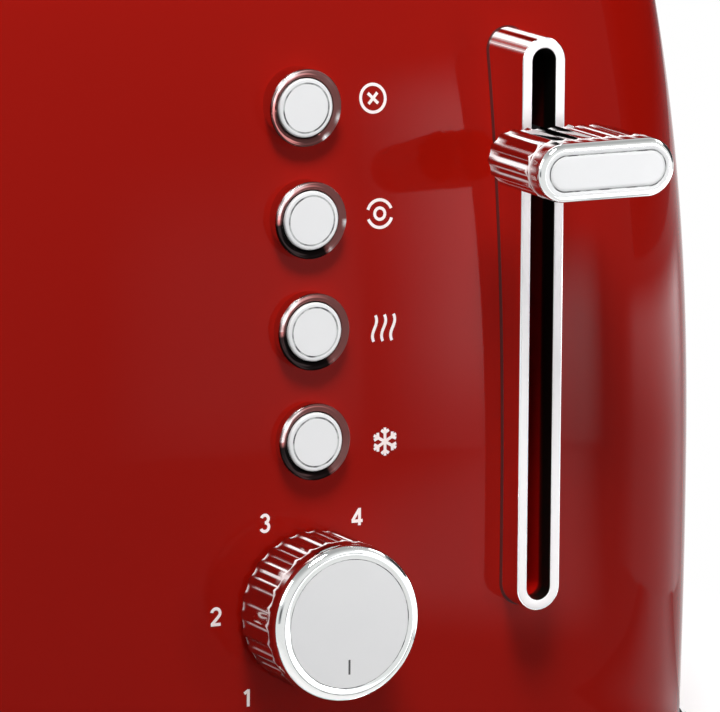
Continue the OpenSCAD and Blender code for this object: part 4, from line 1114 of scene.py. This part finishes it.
# %% [markdown]
# Camera
#
# The picture was taken with a long lens from the left and a little above, close in on the control panel.
# The numbers come from fitting known points of the panel to their places in the photograph.

# %% The camera
AZIMUTH, ELEVATION, ROLL = -26.88, 10.836, math.radians(0.377)
FOCUS_PIXELS, PICTURE_PIXELS, SENSOR, AWAY = 7163.5, 720, 36.0, 1340.5
AIM = np.array([10.174, -150.0, 93.018])


def direction(azimuth, elevation):
    """A step of length one towards an azimuth and an elevation in degrees; azimuth 0 is straight in front
    of the panel and grows to the right."""
    a, e = math.radians(azimuth), math.radians(elevation)
    return np.array([math.sin(a)*math.cos(e), -math.cos(a)*math.cos(e), math.sin(e)])


back = direction(AZIMUTH, ELEVATION)
right = direction(AZIMUTH + 90, 0)
up = np.cross(back, right)
across = math.cos(ROLL)*right + math.sin(ROLL)*up
upward = math.cos(ROLL)*up - math.sin(ROLL)*right
place = (AIM + AWAY*back + MIDDLE)*MM
camera_data = bpy.data.cameras.new("camera")
camera_data.sensor_width, camera_data.lens = SENSOR, FOCUS_PIXELS*SENSOR/PICTURE_PIXELS
camera = bpy.data.objects.new("camera", camera_data)
camera.matrix_world = Matrix(np.column_stack([across, upward, back, place]).tolist() + [[0, 0, 0, 1]])
bpy.context.collection.objects.link(camera)
bpy.context.scene.camera = camera
print("camera at", np.round(place, 3), "lens %.0f mm" % camera_data.lens)

# %% [markdown]
# Floor, world and light
#
# A gloss shell shows its surroundings, so the light is part of the finish. A soft key lamp stands high in
# front on the left, with weaker lamps behind and at the sides. Bright cards with soft edges stand and lie
# on the right, where the panel and its flank mirror them, and two dark flags keep the flanks deep. The
# camera doesn't see the cards, and they cast no shade. Seen directly or in a mirror, the world is white at
# the horizon and dimmer overhead, and the light that it spreads is weak. The floor is white further out
# and keeps the shadow near the toaster.


# %% What is seen directly or in a mirror
def seen_share(finish):
    """One for rays from the camera, from mirrors and through glass, nought for light that spreads."""
    shares = [finish.node("ShaderNodeLightPath", out=name)
              for name in ("Is Camera Ray", "Is Glossy Ray", "Is Transmission Ray")]
    return shares[0].most(shares[1]).most(shares[2])


class WorldFinish(Finish):
    """The same node maker for the world."""

    def __init__(self, world):
        world.use_nodes = True
        self.tree, self.shader = world.node_tree, world.node_tree.nodes["Background"]


WORLD_SPREAD, DOME_TOP = 0.2, 0.5
WHITE = (1.0, 1.0, 1.0, 1.0)
world = bpy.data.worlds.new("studio")
bpy.context.scene.world = world
sky = WorldFinish(world)
sky.feed("Color", WHITE)
height = sky.node("ShaderNodeSeparateXYZ", None, {0: sky.node("ShaderNodeTexCoord", out="Generated")}, "Z")
dome = sky.smooth_step(height, 0.35, 0.95, 1.0, DOME_TOP)
sky.feed("Strength", WORLD_SPREAD + (dome - WORLD_SPREAD)*seen_share(sky))
bpy.context.scene.view_settings.view_transform = "Standard"
print("world made")

# %% The floor
FLOOR_NEAR, FLOOR_FAR, FLOOR_HALF, FLOOR_STRETCH = 0.155, 0.25, 40, 1.42
SHADE_GREY, SEEN_GREY = (0.25, 0.25, 0.25, 1.0), (0.9, 0.9, 0.9, 1.0)


def flat_board(name, corners, finish):
    """A four-cornered board for the stage."""
    mesh = bpy.data.meshes.new(name)
    mesh.from_pydata([tuple(corner) for corner in corners], [], [(0, 1, 2, 3)])
    mesh.uv_layers.new(name="board").data.foreach_set("uv", [0, 0, 1, 0, 1, 1, 0, 1])
    mesh.materials.append(finish.material)
    made = bpy.data.objects.new(name, mesh)
    bpy.context.collection.objects.link(made)
    return made


floor_finish = Finish("pale_floor", {"Roughness": 0.7, "Specular IOR Level": 0.1})
seen = seen_share(floor_finish)
floor_finish.feed("Base Color", floor_finish.tint(seen, SHADE_GREY, SEEN_GREY))
spot = floor_finish.place((FLOOR_STRETCH, 1.0, 1.0))
reach = floor_finish.node("ShaderNodeVectorMath", {"operation": "LENGTH"}, {0: spot}, "Value")
far = floor_finish.smooth_step(reach, FLOOR_NEAR, FLOOR_FAR)
white = floor_finish.node("ShaderNodeEmission", None, {"Color": WHITE, "Strength": 1.0})
plain = Reading(floor_finish, floor_finish.shader.outputs[0])
floor_finish.surface(floor_finish.node("ShaderNodeMixShader", None, {0: far*seen, 1: plain, 2: white}))
square = ((-1, -1), (1, -1), (1, 1), (-1, 1))
flat_board("floor", [(FLOOR_HALF*x, FLOOR_HALF*y, 0) for x, y in square], floor_finish)
print("floor white beyond %.2f m in front" % FLOOR_FAR)

# %% Lamps
PANEL_MIDDLE = (np.array([0.0, -150.0, 100.0]) + MIDDLE)*MM


def soft_lamp(name, azimuth, elevation, distance, size, power, aim):
    """A square lamp at a distance from the panel's middle, which looks at a place in millimetres."""
    data = bpy.data.lights.new(name, "AREA")
    data.size, data.energy = size, power
    lamp = bpy.data.objects.new(name, data)
    lamp.location = PANEL_MIDDLE + distance*direction(azimuth, elevation)
    look = Vector((np.array(aim) + MIDDLE)*MM) - lamp.location
    lamp.rotation_mode = "QUATERNION"
    lamp.rotation_quaternion = look.to_track_quat("-Z", "Y")
    bpy.context.collection.objects.link(lamp)


# The numbers are azimuth, elevation, distance, size and power, and the place that the lamp looks at.
soft_lamp("key", -22, 65, 1.3, 0.4, 19.5, (0, -150, 90))
soft_lamp("back", 170, 35, 1.7, 1.0, 12.0, (0, 0, 120))
soft_lamp("right_fill", 98, 28, 1.5, 0.8, 6.5, (0, 0, 100))
soft_lamp("left_fill", -98, 28, 1.5, 0.8, 5.0, (0, 0, 100))
print("lamps made")

# %% Cards and flags
CARD_WHITE, CARD_LIFT = (0.97, 0.98, 1.0, 1.0), 0.002


def glow_finish(name, least, most, soft, foot=0.0, rise=0.0, spread=1.0):
    """Light that fades from most to least at the left, right, lower and upper edge of a card; foot is
    the share of it that stays at the lower edge, up to the height rise, and spread the share of it that
    lights matt faces."""
    finish = Finish(name)
    spot = finish.node("ShaderNodeTexCoord", out="UV")
    u, v = (finish.node("ShaderNodeSeparateXYZ", None, {0: spot}, axis) for axis in "XY")
    sides = finish.smooth_step(u, 0.0, soft[0])*finish.smooth_step(u, 1.0, 1 - soft[1])
    lower = foot + (1 - foot)*finish.smooth_step(v, rise, soft[2])
    inside = sides*lower*finish.smooth_step(v, 1.0, 1 - soft[3])
    strength = (least + (most - least)*inside)*(spread + (1 - spread)*seen_share(finish))
    finish.surface(finish.node("ShaderNodeEmission", None, {"Color": CARD_WHITE, "Strength": strength}))
    return finish


def stage_card(name, azimuth, elevation, distance, half_w, half_t, finish, spreads=True, flat=False):
    """A card that looks at the panel's middle, or lies flat on the floor. The camera doesn't see it, it
    casts no shade, and where spreads is false only mirrors see it."""
    step = direction(azimuth, elevation)
    middle, sideways = PANEL_MIDDLE + distance*step, direction(azimuth + 90, 0)
    upright = np.cross(step, sideways)
    if flat:
        upright, middle[2] = direction(azimuth, 0), CARD_LIFT
    card = flat_board(name, [middle + x*half_w*sideways + y*half_t*upright for x, y in square], finish)
    card.visible_camera, card.visible_diffuse, card.visible_shadow = False, spreads, False
    print(name, "at", np.round(middle, 2))


# The numbers are azimuth, elevation, distance, half width and half height, and in the finish the least and
# the most light and the soft share at the left, right, lower and upper edge.
stage_card("front_card", 34, 2.3, 0.42, 0.045, 0.116,
           glow_finish("front_glow", 1.0, 9.3, (0.38, 0.1, 0.3, 0.2), foot=0.3, spread=0.6))
stage_card("wide_card", 22.5, 0, 0.45, 0.056, 0.105,
           glow_finish("wide_glow", 1.0, 2.4, (0.6, 0.15, 0.2, 0.5), foot=0.5), spreads=False)
stage_card("right_card", 47.5, -6.5, 0.44, 0.055, 0.07,
           glow_finish("right_glow", 1.0, 9.3, (0.1, 0.6, 0.6, 0.4), foot=0.4), spreads=False)
stage_card("side_card", 90, -12.7, 0.25, 0.125, 0.045,
           glow_finish("side_glow", 0.9, 5.2, (0.2, 0.25, 0.85, 0.2), foot=0.33, rise=0.4), spreads=False)
stage_card("floor_card", 41, 0, 0.32, 0.085, 0.17,
           glow_finish("floor_glow", 1.0, 4.4, (0.35, 0.35, 0.2, 0.3)), spreads=False, flat=True)
stage_card("side_floor", 90, 0, 0.176, 0.061, 0.067,
           glow_finish("side_floor_glow", 0.6, 2.6, (0.4, 0.36, 0.25, 0.03)), spreads=False, flat=True)
stage_card("side_flag", 110, 13, 0.99, 1.0, 0.3, glow_finish("side_dark", 0.35, 0.04, (0.15, 0.1, 0.2, 0.2)))
stage_card("left_flag", -66, 0, 0.5, 0.2, 0.1,
           glow_finish("left_dark", 0.9, 0.15, (0.45, 0.45, 0.3, 0.45), foot=0.6))
